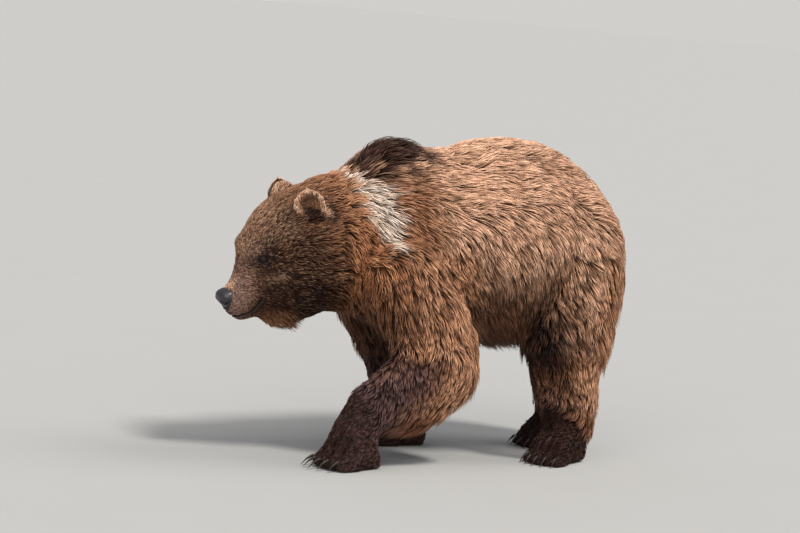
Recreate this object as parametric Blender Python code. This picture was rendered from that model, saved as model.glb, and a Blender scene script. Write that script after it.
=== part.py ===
"""Adult brown bear, life size, a still model caught in a slow walk with its head low.

Metres, +Z up. The bear faces -X and its left side is -Y. The solids give the outline out to
the tips of the coat. The body is modelled whole, then parted by thin cuts into its named parts.
"""

import math

import bmesh
import bpy
from mathutils import Matrix, Vector

# Driving sizes, metres
HUMP_HEIGHT = 0.988
UPPER_ARM = 0.33
FOREARM = 0.32
THIGH = 0.39
SHANK = 0.29
EAR_SPACING = 0.232
EAR_LEFT_TURN = 60.0        # how far each cup is turned outward from straight ahead, degrees
EAR_RIGHT_TURN = 76.0
EAR_FACES_UP = 12.0         # how far each cup looks up, degrees
EAR_LEFT_AHEAD = 0.009      # the head is a little turned, so the left ear stands further ahead
EAR_RIGHT_AHEAD = -0.005
EAR_RIGHT_DROP = 0.017      # and the right one a little lower
EAR_RADIUS = 0.047
EYE_SPACING = 0.126
EYE_RADIUS = 0.0115
TAIL_LENGTH = 0.10
CLAW_THICKNESS = 0.0078
FORE_CLAW = 0.058
HIND_CLAW = 0.040

# Places of the joints that carry the limbs and head, metres
LEFT_SHOULDER = (-0.25, -0.17, 0.600)
RIGHT_SHOULDER = (-0.185, 0.165, 0.640)
LEFT_HIP = (0.50, -0.12, 0.740)
RIGHT_HIP = (0.520, 0.11, 0.755)
BETWEEN_EARS = (-0.515, 0.005, 0.785)
TAIL_ROOT = (0.660, 0.0, 0.735)

# Pose of each limb, degrees: (forward swing, outward splay) of upper and lower length, foot yaw
LEFT_FORE_POSE = ((-36, 11), (58, -2), 6)
RIGHT_FORE_POSE = ((-35, 5), (-16, -6), 10)
LEFT_HIND_POSE = ((20, 10.4), (-24.4, -4.9), 22)
RIGHT_HIND_POSE = ((-14, 3), (-11, -4), -10)
TRAILING_REAR = 0.72        # depth behind the bones of the stretched right hind leg, against the left one's
HEAD_PITCH = 28
HEAD_ROLL = 5
HEAD_YAW = 4

# Planes that part neck from trunk and head from neck: a point and the normal
NECK_ROOT = ((-0.31, 0, 0.66), (0.97, 0, 0.25))
HEAD_ROOT = ((-0.42, 0, 0.64), (0.98, 0, 0.20))

# How the solids are made, metres
GAP = 0.0003                # clearance between touching parts
SOLE_SINK = 0.006           # depth of the soles below the floor before they are cut flat
VOXEL = 0.009
FACE_DENSITY = 15000        # triangles the whole body would have if all of it were as fine as the face
BODY_TRIANGLES = 4040
RING_SIDES = 24
TOES = 5
TOE_LENGTH = 0.06

# Trunk sections from neck to rump: x, top, bottom, height of widest line, half width, pinch of the top
TRUNK = (
    (-0.36, 0.868, 0.475, 0.66, 0.165, 0.05),
    (-0.30, 0.905, 0.445, 0.65, 0.195, 0.15),
    (-0.24, 0.962, 0.430, 0.64, 0.222, 0.30),
    (-0.17, HUMP_HEIGHT, 0.420, 0.63, 0.240, 0.34),
    (-0.09, 0.964, 0.415, 0.62, 0.252, 0.22),
    (0.00, 0.955, 0.408, 0.62, 0.262, 0.08),
    (0.12, 0.986, 0.395, 0.62, 0.272, 0.00),
    (0.24, 1.004, 0.385, 0.62, 0.275, -0.02),
    (0.35, 0.997, 0.392, 0.63, 0.266, -0.02),
    (0.45, 0.964, 0.430, 0.65, 0.250, 0.00),
    (0.54, 0.908, 0.480, 0.67, 0.222, 0.00),
    (0.61, 0.832, 0.520, 0.68, 0.180, 0.00),
    (0.655, 0.755, 0.560, 0.67, 0.120, 0.00),
)

# Neck sections from trunk to head, as for the trunk
NECK = (
    (-0.22, 0.900, 0.440, 0.65, 0.195, 0.20),
    (-0.32, 0.885, 0.445, 0.64, 0.190, 0.12),
    (-0.40, 0.855, 0.440, 0.63, 0.180, 0.05),
    (-0.47, 0.822, 0.430, 0.62, 0.165, 0.00),
)

# Head sections from nape to nose, level: distance ahead of the ears, top, bottom, widest line,
# half width, pinch of the top
HEAD = (
    (-0.11, 0.022, -0.345, -0.150, 0.165, 0.00),
    (-0.05, 0.018, -0.350, -0.160, 0.178, 0.00),
    (0.01, 0.020, -0.360, -0.165, 0.180, 0.03),
    (0.06, 0.022, -0.368, -0.168, 0.170, 0.06),
    (0.11, 0.008, -0.365, -0.172, 0.150, 0.10),
    (0.15, -0.012, -0.350, -0.172, 0.120, 0.12),
    (0.18, -0.037, -0.344, -0.176, 0.095, 0.10),
    (0.205, -0.068, -0.328, -0.186, 0.080, 0.12),
    (0.23, -0.103, -0.296, -0.196, 0.070, 0.14),
    (0.26, -0.141, -0.285, -0.208, 0.062, 0.14),
    (0.288, -0.159, -0.272, -0.212, 0.056, 0.12),
    (0.312, -0.168, -0.252, -0.208, 0.047, 0.10),
    (0.324, -0.178, -0.232, -0.204, 0.036, 0.05),
)

# Lumps of the face, level and one side: ahead, out, up, then the three radii
FACE_LUMPS = (
    (0.176, 0.050, -0.080, 0.036, 0.034, 0.032),     # brow
    (0.105, 0.086, -0.168, 0.080, 0.062, 0.085),     # cheek bone
    (0.286, 0.026, -0.216, 0.038, 0.030, 0.032),     # upper lip
)
CHIN = (0.274, 0.0, -0.260, 0.036, 0.034, 0.025)

# Nose pad sections, level: ahead of the ears, half width, top, bottom
NOSE = ((0.294, 0.033, -0.160, -0.211), (0.320, 0.036, -0.165, -0.220), (0.334, 0.031, -0.173, -0.216))

# Limb sections: share of the way along each length, half width, depth in front, depth behind
UPPER_ARM_SECTIONS = (
    (0.00, 0.105, 0.130, 0.150),
    (0.35, 0.108, 0.130, 0.150),
    (0.70, 0.102, 0.128, 0.130),
    (1.00, 0.094, 0.120, 0.112),
)
FOREARM_SECTIONS = (
    (0.00, 0.094, 0.108, 0.130),
    (0.25, 0.092, 0.104, 0.146),
    (0.55, 0.084, 0.094, 0.142),
    (0.80, 0.076, 0.084, 0.112),
    (1.00, 0.070, 0.076, 0.074),
)
THIGH_SECTIONS = (
    (0.00, 0.125, 0.150, 0.138),
    (0.30, 0.132, 0.160, 0.172),
    (0.60, 0.122, 0.135, 0.196),
    (0.85, 0.110, 0.105, 0.200),
    (1.00, 0.100, 0.092, 0.196),
)
SHANK_SECTIONS = (
    (0.00, 0.100, 0.092, 0.190),
    (0.30, 0.092, 0.096, 0.158),
    (0.65, 0.083, 0.094, 0.118),
    (1.00, 0.070, 0.080, 0.080),
)

INSTEP_SECTIONS = ((0.0, 0.064, 0.066), (0.5, 0.066, 0.056), (1.0, 0.066, 0.042))

# Foot sections: distance ahead of the ankle, half width, height
FORE_PAW = (
    (-0.045, 0.042, 0.070),
    (-0.010, 0.060, 0.116),
    (0.030, 0.068, 0.114),
    (0.070, 0.074, 0.098),
    (0.110, 0.072, 0.074),
)
HIND_PAW = (
    (-0.055, 0.040, 0.075),
    (-0.020, 0.054, 0.115),
    (0.030, 0.058, 0.118),
    (0.080, 0.063, 0.096),
    (0.125, 0.066, 0.074),
    (0.150, 0.062, 0.062),
)
FORE_TOES = (0.142, 0.0290, 0.0215)      # reach of the middle toe's centre, spacing, radius
HIND_TOES = (0.172, 0.0260, 0.0195)

# Colours of the coat and the bare parts
COAT_LIGHT = (0.42, 0.22, 0.09)
COAT_MID = (0.26, 0.12, 0.05)
COAT_DARK = (0.10, 0.05, 0.035)
BARE_BLACK = (0.02, 0.018, 0.02)
CLAW_HORN = (0.06, 0.045, 0.035)


def start_clean():
    for old in list(bpy.data.objects):
        bpy.data.objects.remove(old, do_unlink=True)
    for old in list(bpy.data.meshes):
        bpy.data.meshes.remove(old)


def add_object(name, bm):
    bm.normal_update()
    mesh = bpy.data.meshes.new(name)
    bm.to_mesh(mesh)
    bm.free()
    obj = bpy.data.objects.new(name, mesh)
    bpy.context.scene.collection.objects.link(obj)
    return obj


def drop_object(obj):
    mesh = obj.data
    bpy.data.objects.remove(obj, do_unlink=True)
    bpy.data.meshes.remove(mesh)


def paint(obj, colour, roughness):
    material = bpy.data.materials.new(obj.name)
    material.use_nodes = True
    shader = material.node_tree.nodes["Principled BSDF"]
    shader.inputs["Base Color"].default_value = (*colour, 1.0)
    shader.inputs["Roughness"].default_value = roughness
    shader.inputs["Metallic"].default_value = 0.0
    obj.data.materials.clear()
    obj.data.materials.append(material)


def catmull_rom(before, start, end, after, t):
    bend = 2 * before - 5 * start + 4 * end - after
    twist = 3 * start - before - 3 * end + after
    return 0.5 * (2 * start + (end - before) * t + bend * t * t + twist * t ** 3)


def smooth_rows(rows, steps):
    """Rows of numbers with a Catmull-Rom curve through them, steps rows to each span."""
    rows = [list(row) for row in rows]
    padded = [rows[0]] + rows + [rows[-1]]
    dense = []
    for k in range(1, len(padded) - 2):
        before, start, end, after = padded[k - 1:k + 3]
        for step in range(steps):
            t = step / steps
            dense.append([
                catmull_rom(a, b, c, d, t) for a, b, c, d in zip(before, start, end, after)
            ])
    dense.append(rows[-1])
    return dense


def add_tube(bm, stations, round_ends=0.6):
    """One closed tube through stations of (centre, heading, half width, above, below, pinch)."""
    first, last = stations[0], stations[-1]
    rings = []
    capped = [end_station(first, -1, round_ends)] + list(stations) + [end_station(last, 1, round_ends)]
    for centre, heading, half_width, above, below, pinch in capped:
        side = Vector((0, 1, 0))
        side = (side - heading * side.dot(heading)).normalized()
        up = side.cross(heading)
        ring = []
        for k in range(RING_SIDES):
            turn = 2 * math.pi * k / RING_SIDES
            height = above if math.sin(turn) > 0 else below
            narrow = 1 - pinch * max(0.0, math.sin(turn)) ** 2
            out = side * half_width * math.cos(turn) * narrow
            ring.append(bm.verts.new(centre + out + up * height * math.sin(turn)))
        rings.append(ring)
    for one, two in zip(rings, rings[1:]):
        for k in range(RING_SIDES):
            nxt = (k + 1) % RING_SIDES
            bm.faces.new((one[k], one[nxt], two[nxt], two[k]))
    for ring, station, way in ((rings[0], first, -1), (rings[-1], last, 1)):
        reach = 0.5 * (station[3] + station[4]) * round_ends
        tip = bm.verts.new(station[0] + station[1] * way * reach)
        for k in range(RING_SIDES):
            bm.faces.new((ring[k], ring[(k + 1) % RING_SIDES], tip))


def end_station(station, way, round_ends):
    """A smaller ring a little past the end, which rounds it off."""
    centre, heading, half_width, above, below, pinch = station
    reach = 0.5 * (above + below) * round_ends
    return (centre + heading * way * reach * 0.7, heading, half_width * 0.7, above * 0.7, below * 0.7, pinch)


def add_lump(bm, place, radii, frame, fineness=3):
    made = bmesh.ops.create_icosphere(bm, subdivisions=fineness, radius=1.0)
    scale = Matrix.Diagonal((*radii, 1.0))
    bmesh.ops.transform(bm, verts=made["verts"], matrix=frame @ Matrix.Translation(place) @ scale)


def add_level_tube(bm, rows, frame):
    """A tube of upright sections toward -X; each row is x, top, bottom, widest line, half width, pinch."""
    heading = frame.to_3x3() @ Vector((-1, 0, 0))
    stations = []
    for x, top, bottom, widest, half_width, pinch in smooth_rows(rows, 3):
        centre = frame @ Vector((x, 0, widest))
        stations.append((centre, heading, half_width, top - widest, widest - bottom, pinch))
    add_tube(bm, stations)


def head_frame():
    """Frame of the level head: origin between the ears, nose toward -X."""
    yaw = Matrix.Rotation(math.radians(-HEAD_YAW), 4, "Z")
    pitch = Matrix.Rotation(math.radians(-HEAD_PITCH), 4, "Y")
    roll = Matrix.Rotation(math.radians(HEAD_ROLL), 4, "X")
    return Matrix.Translation(BETWEEN_EARS) @ yaw @ pitch @ roll


def add_head(bm):
    frame = head_frame()
    add_level_tube(bm, [(-row[0], *row[1:]) for row in HEAD], frame)
    for side in (-1, 1):
        for ahead, out, up, *radii in FACE_LUMPS:
            add_lump(bm, (-ahead, side * out, up), radii, frame)
    add_lump(bm, (-CHIN[0], CHIN[1], CHIN[2]), CHIN[3:], frame)


def limb_joints(start, lengths, pose, side):
    """Joint points of a limb from its swing and splay, then the yaw of its foot."""
    points = [Vector(start)]
    for length, (swing, splay) in zip(lengths, pose[:2]):
        swing, splay = math.radians(swing), math.radians(splay)
        flat = math.cos(splay)
        heading = Vector((-math.sin(swing) * flat, side * math.sin(splay), -math.cos(swing) * flat))
        points.append(points[-1] + heading * length)
    return points


def foot_frame(ankle, yaw, side):
    """Frame on the floor under the ankle, toes toward -X, turned outward by yaw."""
    turn = Matrix.Rotation(math.radians(-side * yaw), 4, "Z")
    return Matrix.Translation((ankle.x, ankle.y, 0)) @ turn


def add_limb(bm, joints, sections, rear):
    """Tubes along a limb's lengths; rear scales the depth behind the bones."""
    for start, end, rows in zip(joints, joints[1:], sections):
        heading = (end - start).normalized()
        stations = []
        for share, half_width, front, back in smooth_rows(rows, 3):
            stations.append((start.lerp(end, share), heading, half_width, front, back * rear, 0.0))
        add_tube(bm, stations)


def toe_place(toes, k):
    """Centre line of toe k, level: how far it reaches ahead and how far it is out to the side."""
    reach, spacing, radius = toes
    offset = k - (TOES - 1) / 2
    return reach - 0.005 * offset * offset, offset * spacing, radius


def add_foot(bm, frame, rows, toes):
    heading = (frame.to_3x3() @ Vector((-1, 0, 0))).normalized()
    stations = []
    for ahead, half_width, height in smooth_rows(rows, 3):
        middle = 0.42 * height
        centre = frame @ Vector((-ahead, 0, middle))
        stations.append((centre, heading, half_width, height - middle, middle + SOLE_SINK, 0.0))
    add_tube(bm, stations, 0.3)
    for k in range(TOES):
        reach, out, radius = toe_place(toes, k)
        toe = []
        for share in (0.0, 0.5, 1.0):
            spread = out * (0.9 + 0.1 * share)
            height = radius * (1.25 - 0.1 * share)
            centre = frame @ Vector((-reach + TOE_LENGTH * (1 - share), spread, height))
            half_width = radius * (0.95 - 0.05 * share)
            toe.append((centre, heading, half_width, radius * (1.25 - 0.15 * share), radius * 1.6, 0.0))
        add_tube(bm, toe, 0.75)


def add_instep(bm, ankle, frame, reach, sections):
    """A sloping tube from the ankle down to the root of the toes."""
    end = frame @ Vector((-reach, 0, 0.050))
    heading = (end - ankle).normalized()
    stations = []
    for share, half_width, depth in sections:
        stations.append((ankle.lerp(end, share), heading, half_width, depth, depth, 0.0))
    add_tube(bm, stations)


def fore_limb(side, shoulder, pose):
    joints = limb_joints(shoulder, (UPPER_ARM, FOREARM), pose, side)
    return {
        "pieces": ("upper_arm", "forearm", "forepaw"),
        "side": side,
        "joints": joints,
        "sections": (UPPER_ARM_SECTIONS, FOREARM_SECTIONS),
        "rear": 1.0,
        "foot": foot_frame(joints[2], pose[2], side),
        "paw": FORE_PAW,
        "toes": FORE_TOES,
        "claw": FORE_CLAW,
        "claw_name": "fore_claw",
    }


def hind_limb(side, hip, pose, rear):
    joints = limb_joints(hip, (THIGH, SHANK), pose, side)
    return {
        "pieces": ("thigh", "shank", "hindpaw"),
        "side": side,
        "joints": joints,
        "sections": (THIGH_SECTIONS, SHANK_SECTIONS),
        "rear": rear,
        "foot": foot_frame(joints[2], pose[2], side),
        "paw": HIND_PAW,
        "toes": HIND_TOES,
        "claw": HIND_CLAW,
        "claw_name": "hind_claw",
    }


def limbs():
    return (
        fore_limb(-1, LEFT_SHOULDER, LEFT_FORE_POSE),
        hind_limb(-1, LEFT_HIP, LEFT_HIND_POSE, 1.0),
        fore_limb(1, RIGHT_SHOULDER, RIGHT_FORE_POSE),
        hind_limb(1, RIGHT_HIP, RIGHT_HIND_POSE, TRAILING_REAR),
    )


def side_name(limb):
    return "left" if limb["side"] < 0 else "right"


def model_body():
    """The whole flesh and coat as one closed mesh with flat soles."""
    bm = bmesh.new()
    add_level_tube(bm, TRUNK[::-1], Matrix.Identity(4))
    add_level_tube(bm, NECK, Matrix.Identity(4))
    add_head(bm)
    for limb in limbs():
        add_limb(bm, limb["joints"], limb["sections"], limb["rear"])
        add_instep(bm, limb["joints"][2], limb["foot"], limb["toes"][0] - 0.04, INSTEP_SECTIONS)
        add_foot(bm, limb["foot"], limb["paw"], limb["toes"])
    bmesh.ops.recalc_face_normals(bm, faces=bm.faces)
    body = add_object("body", bm)
    remesh = body.modifiers.new("Skin over", "REMESH")
    remesh.mode = "VOXEL"
    remesh.voxel_size = VOXEL
    soften = body.modifiers.new("Soften", "SMOOTH")
    soften.factor = 0.6
    soften.iterations = 6
    settle(body)
    thin_out(body, FACE_DENSITY, "")
    group = body.vertex_groups.new(name="face")
    to_head = head_frame().inverted()
    for vertex in body.data.vertices:
        place = to_head @ vertex.co
        face = 1.0 if place.x < -0.13 and place.z > -0.4 else 0.0
        group.add((vertex.index,), face, "REPLACE")
    thin_out(body, BODY_TRIANGLES, "face")
    halves = cut_by_plane(body, (0, 0, 0), (0, 0, 1))
    drop_object(halves[0])
    halves[1].name = "body"
    return halves[1]


def settle(obj):
    """Make the modifiers' result the object's own mesh."""
    depsgraph = bpy.context.evaluated_depsgraph_get()
    depsgraph.update()
    made = bpy.data.meshes.new_from_object(obj.evaluated_get(depsgraph))
    old = obj.data
    obj.modifiers.clear()
    obj.data = made
    bpy.data.meshes.remove(old)


def thin_out(obj, triangles, kept_group):
    """Reduce the mesh to about this many triangles, leaving the kept group as it is."""
    thin = obj.modifiers.new("Facets", "DECIMATE")
    thin.ratio = triangles / sum(len(face.vertices) - 2 for face in obj.data.polygons)
    thin.vertex_group = kept_group
    thin.invert_vertex_group = bool(kept_group)
    settle(obj)


def boolean(obj, cutter, operation):
    cut = obj.modifiers.new("Cut", "BOOLEAN")
    cut.operation = operation
    cut.solver = "EXACT"
    cut.object = cutter
    settle(obj)


def copy_of(obj, name):
    twin = bpy.data.objects.new(name, obj.data.copy())
    bpy.context.scene.collection.objects.link(twin)
    return twin


def cut_by_plane(obj, point, normal):
    """The two sides of a plane, each closed, half a gap back from it: below first, then above."""
    normal = Vector(normal).normalized()
    sides = []
    for way in (-1, 1):
        bm = bmesh.new()
        bm.from_mesh(obj.data)
        where = Vector(point) + normal * way * GAP / 2
        geometry = bm.verts[:] + bm.edges[:] + bm.faces[:]
        cut = bmesh.ops.bisect_plane(
            bm, geom=geometry, dist=1e-6, plane_co=where, plane_no=normal * way, clear_inner=True
        )
        rim = [e for e in cut["geom_cut"] if isinstance(e, bmesh.types.BMEdge)]
        bmesh.ops.triangle_fill(bm, use_beauty=True, use_dissolve=False, edges=rim)
        bmesh.ops.recalc_face_normals(bm, faces=bm.faces)
        sides.append(add_object(obj.name + "_side", bm))
    drop_object(obj)
    return sides


def swollen(obj, name, amount):
    """A copy pushed out along its normals, used as a cutter that leaves a gap."""
    bm = bmesh.new()
    bm.from_mesh(obj.data)
    bm.normal_update()
    for vertex in bm.verts:
        vertex.co += vertex.normal * amount * vertex.calc_shell_factor()
    twin = add_object(name, bm)
    twin.hide_render = True
    twin.display_type = "WIRE"
    return twin


def keep_biggest(obj):
    """Drop crumbs that a cut left beside the piece itself."""
    bm = bmesh.new()
    bm.from_mesh(obj.data)
    left = set(bm.verts)
    groups = []
    while left:
        todo = [left.pop()]
        group = set(todo)
        while todo:
            vertex = todo.pop()
            for edge in vertex.link_edges:
                other = edge.other_vert(vertex)
                if other in left:
                    left.discard(other)
                    group.add(other)
                    todo.append(other)
        groups.append(group)
    groups.sort(key=len)
    for group in groups[:-1]:
        bmesh.ops.delete(bm, geom=list(group), context="VERTS")
    bm.to_mesh(obj.data)
    bm.free()


def wedge(name, limb):
    """Convex block round one limb, its top sloping up and out across the shoulder or hip."""
    side = limb["side"]
    fore = limb["pieces"][0] == "upper_arm"
    root, middle = limb["joints"][:2]
    low, inner, outer = -0.10, 0.012, 0.50
    if fore:
        crotch, rise = 0.405, 1.25
        front_low, front_high = root.x - 0.37, root.x + 0.13
        back_middle, back_high = middle.x + 0.135, root.x + 0.12
    else:
        crotch, rise = 0.425, 1.15
        front_low, front_high = middle.x - 0.20, root.x - 0.16
        back_middle, back_high = middle.x + 0.50, root.x + 0.35
    top_inner = crotch
    top_outer = crotch + rise * (outer - inner)
    back_low = back_middle + (back_middle - back_high) * (middle.z - low) / (top_outer - middle.z)
    corners = []
    for x_low, x_high in ((front_low, front_high), (back_low, back_high)):
        x_inner = x_low + (x_high - x_low) * (top_inner - low) / (top_outer - low)
        corners.append((x_low, side * inner, low))
        corners.append((x_low, side * outer, low))
        corners.append((x_high, side * outer, top_outer))
        corners.append((x_inner, side * inner, top_inner))
    bm = bmesh.new()
    for corner in corners:
        bm.verts.new(corner)
    bmesh.ops.convex_hull(bm, input=bm.verts)
    bmesh.ops.recalc_face_normals(bm, faces=bm.faces)
    block = add_object(name, bm)
    block.hide_render = True
    block.display_type = "WIRE"
    return block


def part_limb(body, limb):
    """Cut one limb off the body, then part it at its two joints."""
    block = wedge("block", limb)
    grown = swollen(block, "grown_block", GAP)
    chunk = copy_of(body, "chunk")
    boolean(chunk, block, "INTERSECT")
    boolean(body, grown, "DIFFERENCE")
    drop_object(block)
    drop_object(grown)
    keep_biggest(chunk)
    joints = limb["joints"]
    toe_way = limb["foot"].to_3x3() @ Vector((-1, 0, 0))
    ways = [(joints[1] - joints[0]).normalized(), (joints[2] - joints[1]).normalized(), toe_way]
    pieces = []
    rest = chunk
    for k, name in enumerate(limb["pieces"][:2]):
        upper, rest = cut_by_plane(rest, joints[k + 1], ways[k] + ways[k + 1])
        upper.name = name + "_" + side_name(limb)
        pieces.append(upper)
    rest.name = limb["pieces"][2] + "_" + side_name(limb)
    pieces.append(rest)
    for piece in pieces:
        keep_biggest(piece)
    return pieces


def make_ear(side, cutter):
    """A round cupped ear, its hollow turned forward and out."""
    frame = head_frame()
    bm = bmesh.new()
    segments, rings = 16, 3
    sheets = []
    for face in (-1, 1):
        rows = []
        for r in range(1, rings + 1):
            share = r / rings
            row = []
            for k in range(segments):
                turn = 2 * math.pi * k / segments
                if r == rings and face == 1:
                    row.append(sheets[0][1][-1][k])
                    continue
                dish = 1 - share ** 2
                depth = -0.020 * dish if face == 1 else -0.036 * dish - 0.004
                tall = EAR_RADIUS * (1.06 if math.sin(turn) > 0 else 1.55)
                across = EAR_RADIUS * share * math.cos(turn)
                row.append(bm.verts.new((depth, across, tall * share * math.sin(turn))))
            rows.append(row)
        middle = bm.verts.new((-0.020 if face == 1 else -0.040, 0, 0))
        sheets.append((middle, rows))
    for middle, rows in sheets:
        for k in range(segments):
            nxt = (k + 1) % segments
            bm.faces.new((middle, rows[0][k], rows[0][nxt]))
            for one, two in zip(rows, rows[1:]):
                bm.faces.new((one[k], two[k], two[nxt], one[nxt]))
    bmesh.ops.recalc_face_normals(bm, faces=bm.faces)
    # the cup opens toward local +X, so it is turned to face forward (-X) and out
    turn = 180 - side * (EAR_LEFT_TURN if side < 0 else EAR_RIGHT_TURN)
    ahead = EAR_LEFT_AHEAD if side < 0 else EAR_RIGHT_AHEAD
    drop = 0.0 if side < 0 else EAR_RIGHT_DROP
    lean = Matrix.Rotation(math.radians(-EAR_FACES_UP), 4, "Y")
    stand = Matrix.Rotation(math.radians(turn), 4, "Z") @ lean
    place = Matrix.Translation((-ahead, side * EAR_SPACING / 2, -0.007 - drop))
    tilt = Matrix.Rotation(math.radians(-side * 5), 4, "X")
    bmesh.ops.transform(bm, verts=bm.verts, matrix=frame @ place @ tilt @ stand)
    ear = add_object("ear_left" if side < 0 else "ear_right", bm)
    boolean(ear, cutter, "DIFFERENCE")
    keep_biggest(ear)
    return ear


def make_eye(side):
    bm = bmesh.new()
    add_lump(bm, (-0.181, side * EYE_SPACING / 2, -0.107), (EYE_RADIUS,) * 3, head_frame(), 2)
    eye = add_object("eye_left" if side < 0 else "eye_right", bm)
    return eye


def sink_orbit(body, eye, side):
    """A shallow dish in the face that opens the eye to view, then a clearance round the ball."""
    bm = bmesh.new()
    add_lump(bm, (-0.200, side * (EYE_SPACING / 2 + 0.016), -0.105), (0.022, 0.020, 0.015), head_frame())
    dish = add_object("dish", bm)
    boolean(body, dish, "DIFFERENCE")
    drop_object(dish)
    ball = swollen(eye, "ball", GAP)
    boolean(body, ball, "DIFFERENCE")
    drop_object(ball)


def make_nose(cutter):
    bm = bmesh.new()
    frame = head_frame()
    heading = frame.to_3x3() @ Vector((-1, 0, 0))
    rows = []
    for ahead, half_width, top, bottom in NOSE:
        centre = frame @ Vector((-ahead, 0, (top + bottom) / 2))
        rows.append((centre, heading, half_width, (top - bottom) / 2, (top - bottom) / 2, 0.0))
    add_tube(bm, rows, 0.45)
    bmesh.ops.recalc_face_normals(bm, faces=bm.faces)
    nose = add_object("nose", bm)
    boolean(nose, cutter, "DIFFERENCE")
    keep_biggest(nose)
    return nose


def make_tail(cutter):
    bm = bmesh.new()
    rows = []
    slope = Vector((0.35, 0, -1.0)).normalized()
    for share, radius in ((0.0, 0.030), (0.4, 0.034), (0.8, 0.024)):
        place = Vector(TAIL_ROOT) + slope * TAIL_LENGTH * share
        rows.append((place, slope, radius, radius, radius, 0.0))
    add_tube(bm, rows, 0.8)
    bmesh.ops.recalc_face_normals(bm, faces=bm.faces)
    tail = add_object("tail", bm)
    boolean(tail, cutter, "DIFFERENCE")
    keep_biggest(tail)
    return tail


def make_claw(name, limb, k, cutter):
    """A tapering horn that arches forward and down from the tip of toe k."""
    reach, out, radius = toe_place(limb["toes"], k)
    length = limb["claw"] * (1.0 - 0.04 * abs(k - 2))
    steps, sides = 4, 6
    bm = bmesh.new()
    rings = []
    for step in range(steps):
        t = step / (steps - 1)
        arch = radius * 1.45 + 0.010 * t - 0.036 * t * t
        centre = Vector((-reach - 0.004 - length * t, out * (1 + 0.10 * t), arch))
        thick = CLAW_THICKNESS * (1 - 0.8 * t)
        ring = []
        for s in range(sides):
            turn = 2 * math.pi * s / sides
            rim = Vector((0, 0.72 * thick * math.cos(turn), thick * math.sin(turn)))
            ring.append(bm.verts.new(centre + rim))
        rings.append(ring)
    for one, two in zip(rings, rings[1:]):
        for s in range(sides):
            nxt = (s + 1) % sides
            bm.faces.new((one[s], one[nxt], two[nxt], two[s]))
    bm.faces.new(rings[0])
    bm.faces.new(rings[-1])
    bmesh.ops.recalc_face_normals(bm, faces=bm.faces)
    bmesh.ops.transform(bm, verts=bm.verts, matrix=limb["foot"])
    claw = add_object(name, bm)
    boolean(claw, cutter, "DIFFERENCE")
    keep_biggest(claw)
    return claw


def stand_at_origin(parts):
    """Move everything so that the middle of the box's underside is the origin."""
    low = [min(min(v.co[i] for v in p.data.vertices) for p in parts) for i in range(3)]
    high = [max(max(v.co[i] for v in p.data.vertices) for p in parts) for i in range(3)]
    shift = Matrix.Translation((-(low[0] + high[0]) / 2, -(low[1] + high[1]) / 2, -low[2]))
    for part in parts:
        part.data.transform(shift)
    print("bear shifted by", [round(x, 4) for x in shift.to_translation()])


def main():
    start_clean()
    body = model_body()
    parts = []
    for side in (-1, 1):
        eye = make_eye(side)
        sink_orbit(body, eye, side)
        paint(eye, BARE_BLACK, 0.1)
        parts.append(eye)
    cutter = swollen(body, "cutter", GAP)
    for side in (-1, 1):
        ear = make_ear(side, cutter)
        paint(ear, COAT_MID, 0.9)
        parts.append(ear)
    nose = make_nose(cutter)
    paint(nose, BARE_BLACK, 0.3)
    parts.append(nose)
    tail = make_tail(cutter)
    paint(tail, COAT_MID, 0.9)
    parts.append(tail)
    for limb in limbs():
        for k in range(TOES):
            name = f"{limb['claw_name']}_{side_name(limb)}_{k + 1}"
            claw = make_claw(name, limb, k, cutter)
            paint(claw, CLAW_HORN, 0.4)
            parts.append(claw)
    drop_object(cutter)
    for limb in limbs():
        for piece, colour in zip(part_limb(body, limb), (COAT_MID, COAT_DARK, COAT_DARK)):
            paint(piece, colour, 0.9)
            parts.append(piece)
    keep_biggest(body)
    front, trunk = cut_by_plane(body, *NECK_ROOT)
    head, neck = cut_by_plane(front, *HEAD_ROOT)
    clearance = swollen(nose, "nose_clearance", GAP * 0.6)
    boolean(head, clearance, "DIFFERENCE")
    drop_object(clearance)
    keep_biggest(head)
    named = ((head, "head", COAT_MID), (neck, "neck", COAT_MID), (trunk, "trunk", COAT_LIGHT))
    for piece, name, colour in named:
        piece.name = name
        paint(piece, colour, 0.9)
        parts.append(piece)
    stand_at_origin(parts)
    print("bear made of", len(parts), "parts")


main()
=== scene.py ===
import math
import bmesh
import bpy
import numpy as np
from mathutils import Matrix, Vector, kdtree


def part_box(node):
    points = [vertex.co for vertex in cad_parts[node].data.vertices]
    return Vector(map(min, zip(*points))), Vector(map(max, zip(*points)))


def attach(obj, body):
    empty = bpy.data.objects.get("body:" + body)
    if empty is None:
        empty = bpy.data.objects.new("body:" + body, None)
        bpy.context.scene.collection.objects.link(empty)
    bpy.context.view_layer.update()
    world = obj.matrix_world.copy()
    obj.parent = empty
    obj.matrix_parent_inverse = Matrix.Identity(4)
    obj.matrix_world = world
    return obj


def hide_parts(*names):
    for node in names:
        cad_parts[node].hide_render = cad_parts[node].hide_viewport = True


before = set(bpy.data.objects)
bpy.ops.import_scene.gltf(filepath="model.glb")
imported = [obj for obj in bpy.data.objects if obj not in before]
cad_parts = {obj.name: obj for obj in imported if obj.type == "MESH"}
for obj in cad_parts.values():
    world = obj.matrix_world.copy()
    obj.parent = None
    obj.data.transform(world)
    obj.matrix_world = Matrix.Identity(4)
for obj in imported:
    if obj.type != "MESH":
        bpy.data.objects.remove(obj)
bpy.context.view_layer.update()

dice = np.random.default_rng(11)
scene = bpy.context.scene


# shader maths: a wire is one socket of a material's node tree

def operator(operation, swapped=False):
    return lambda one, two: one.maths(operation, *((two, one) if swapped else (one, two)))


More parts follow.
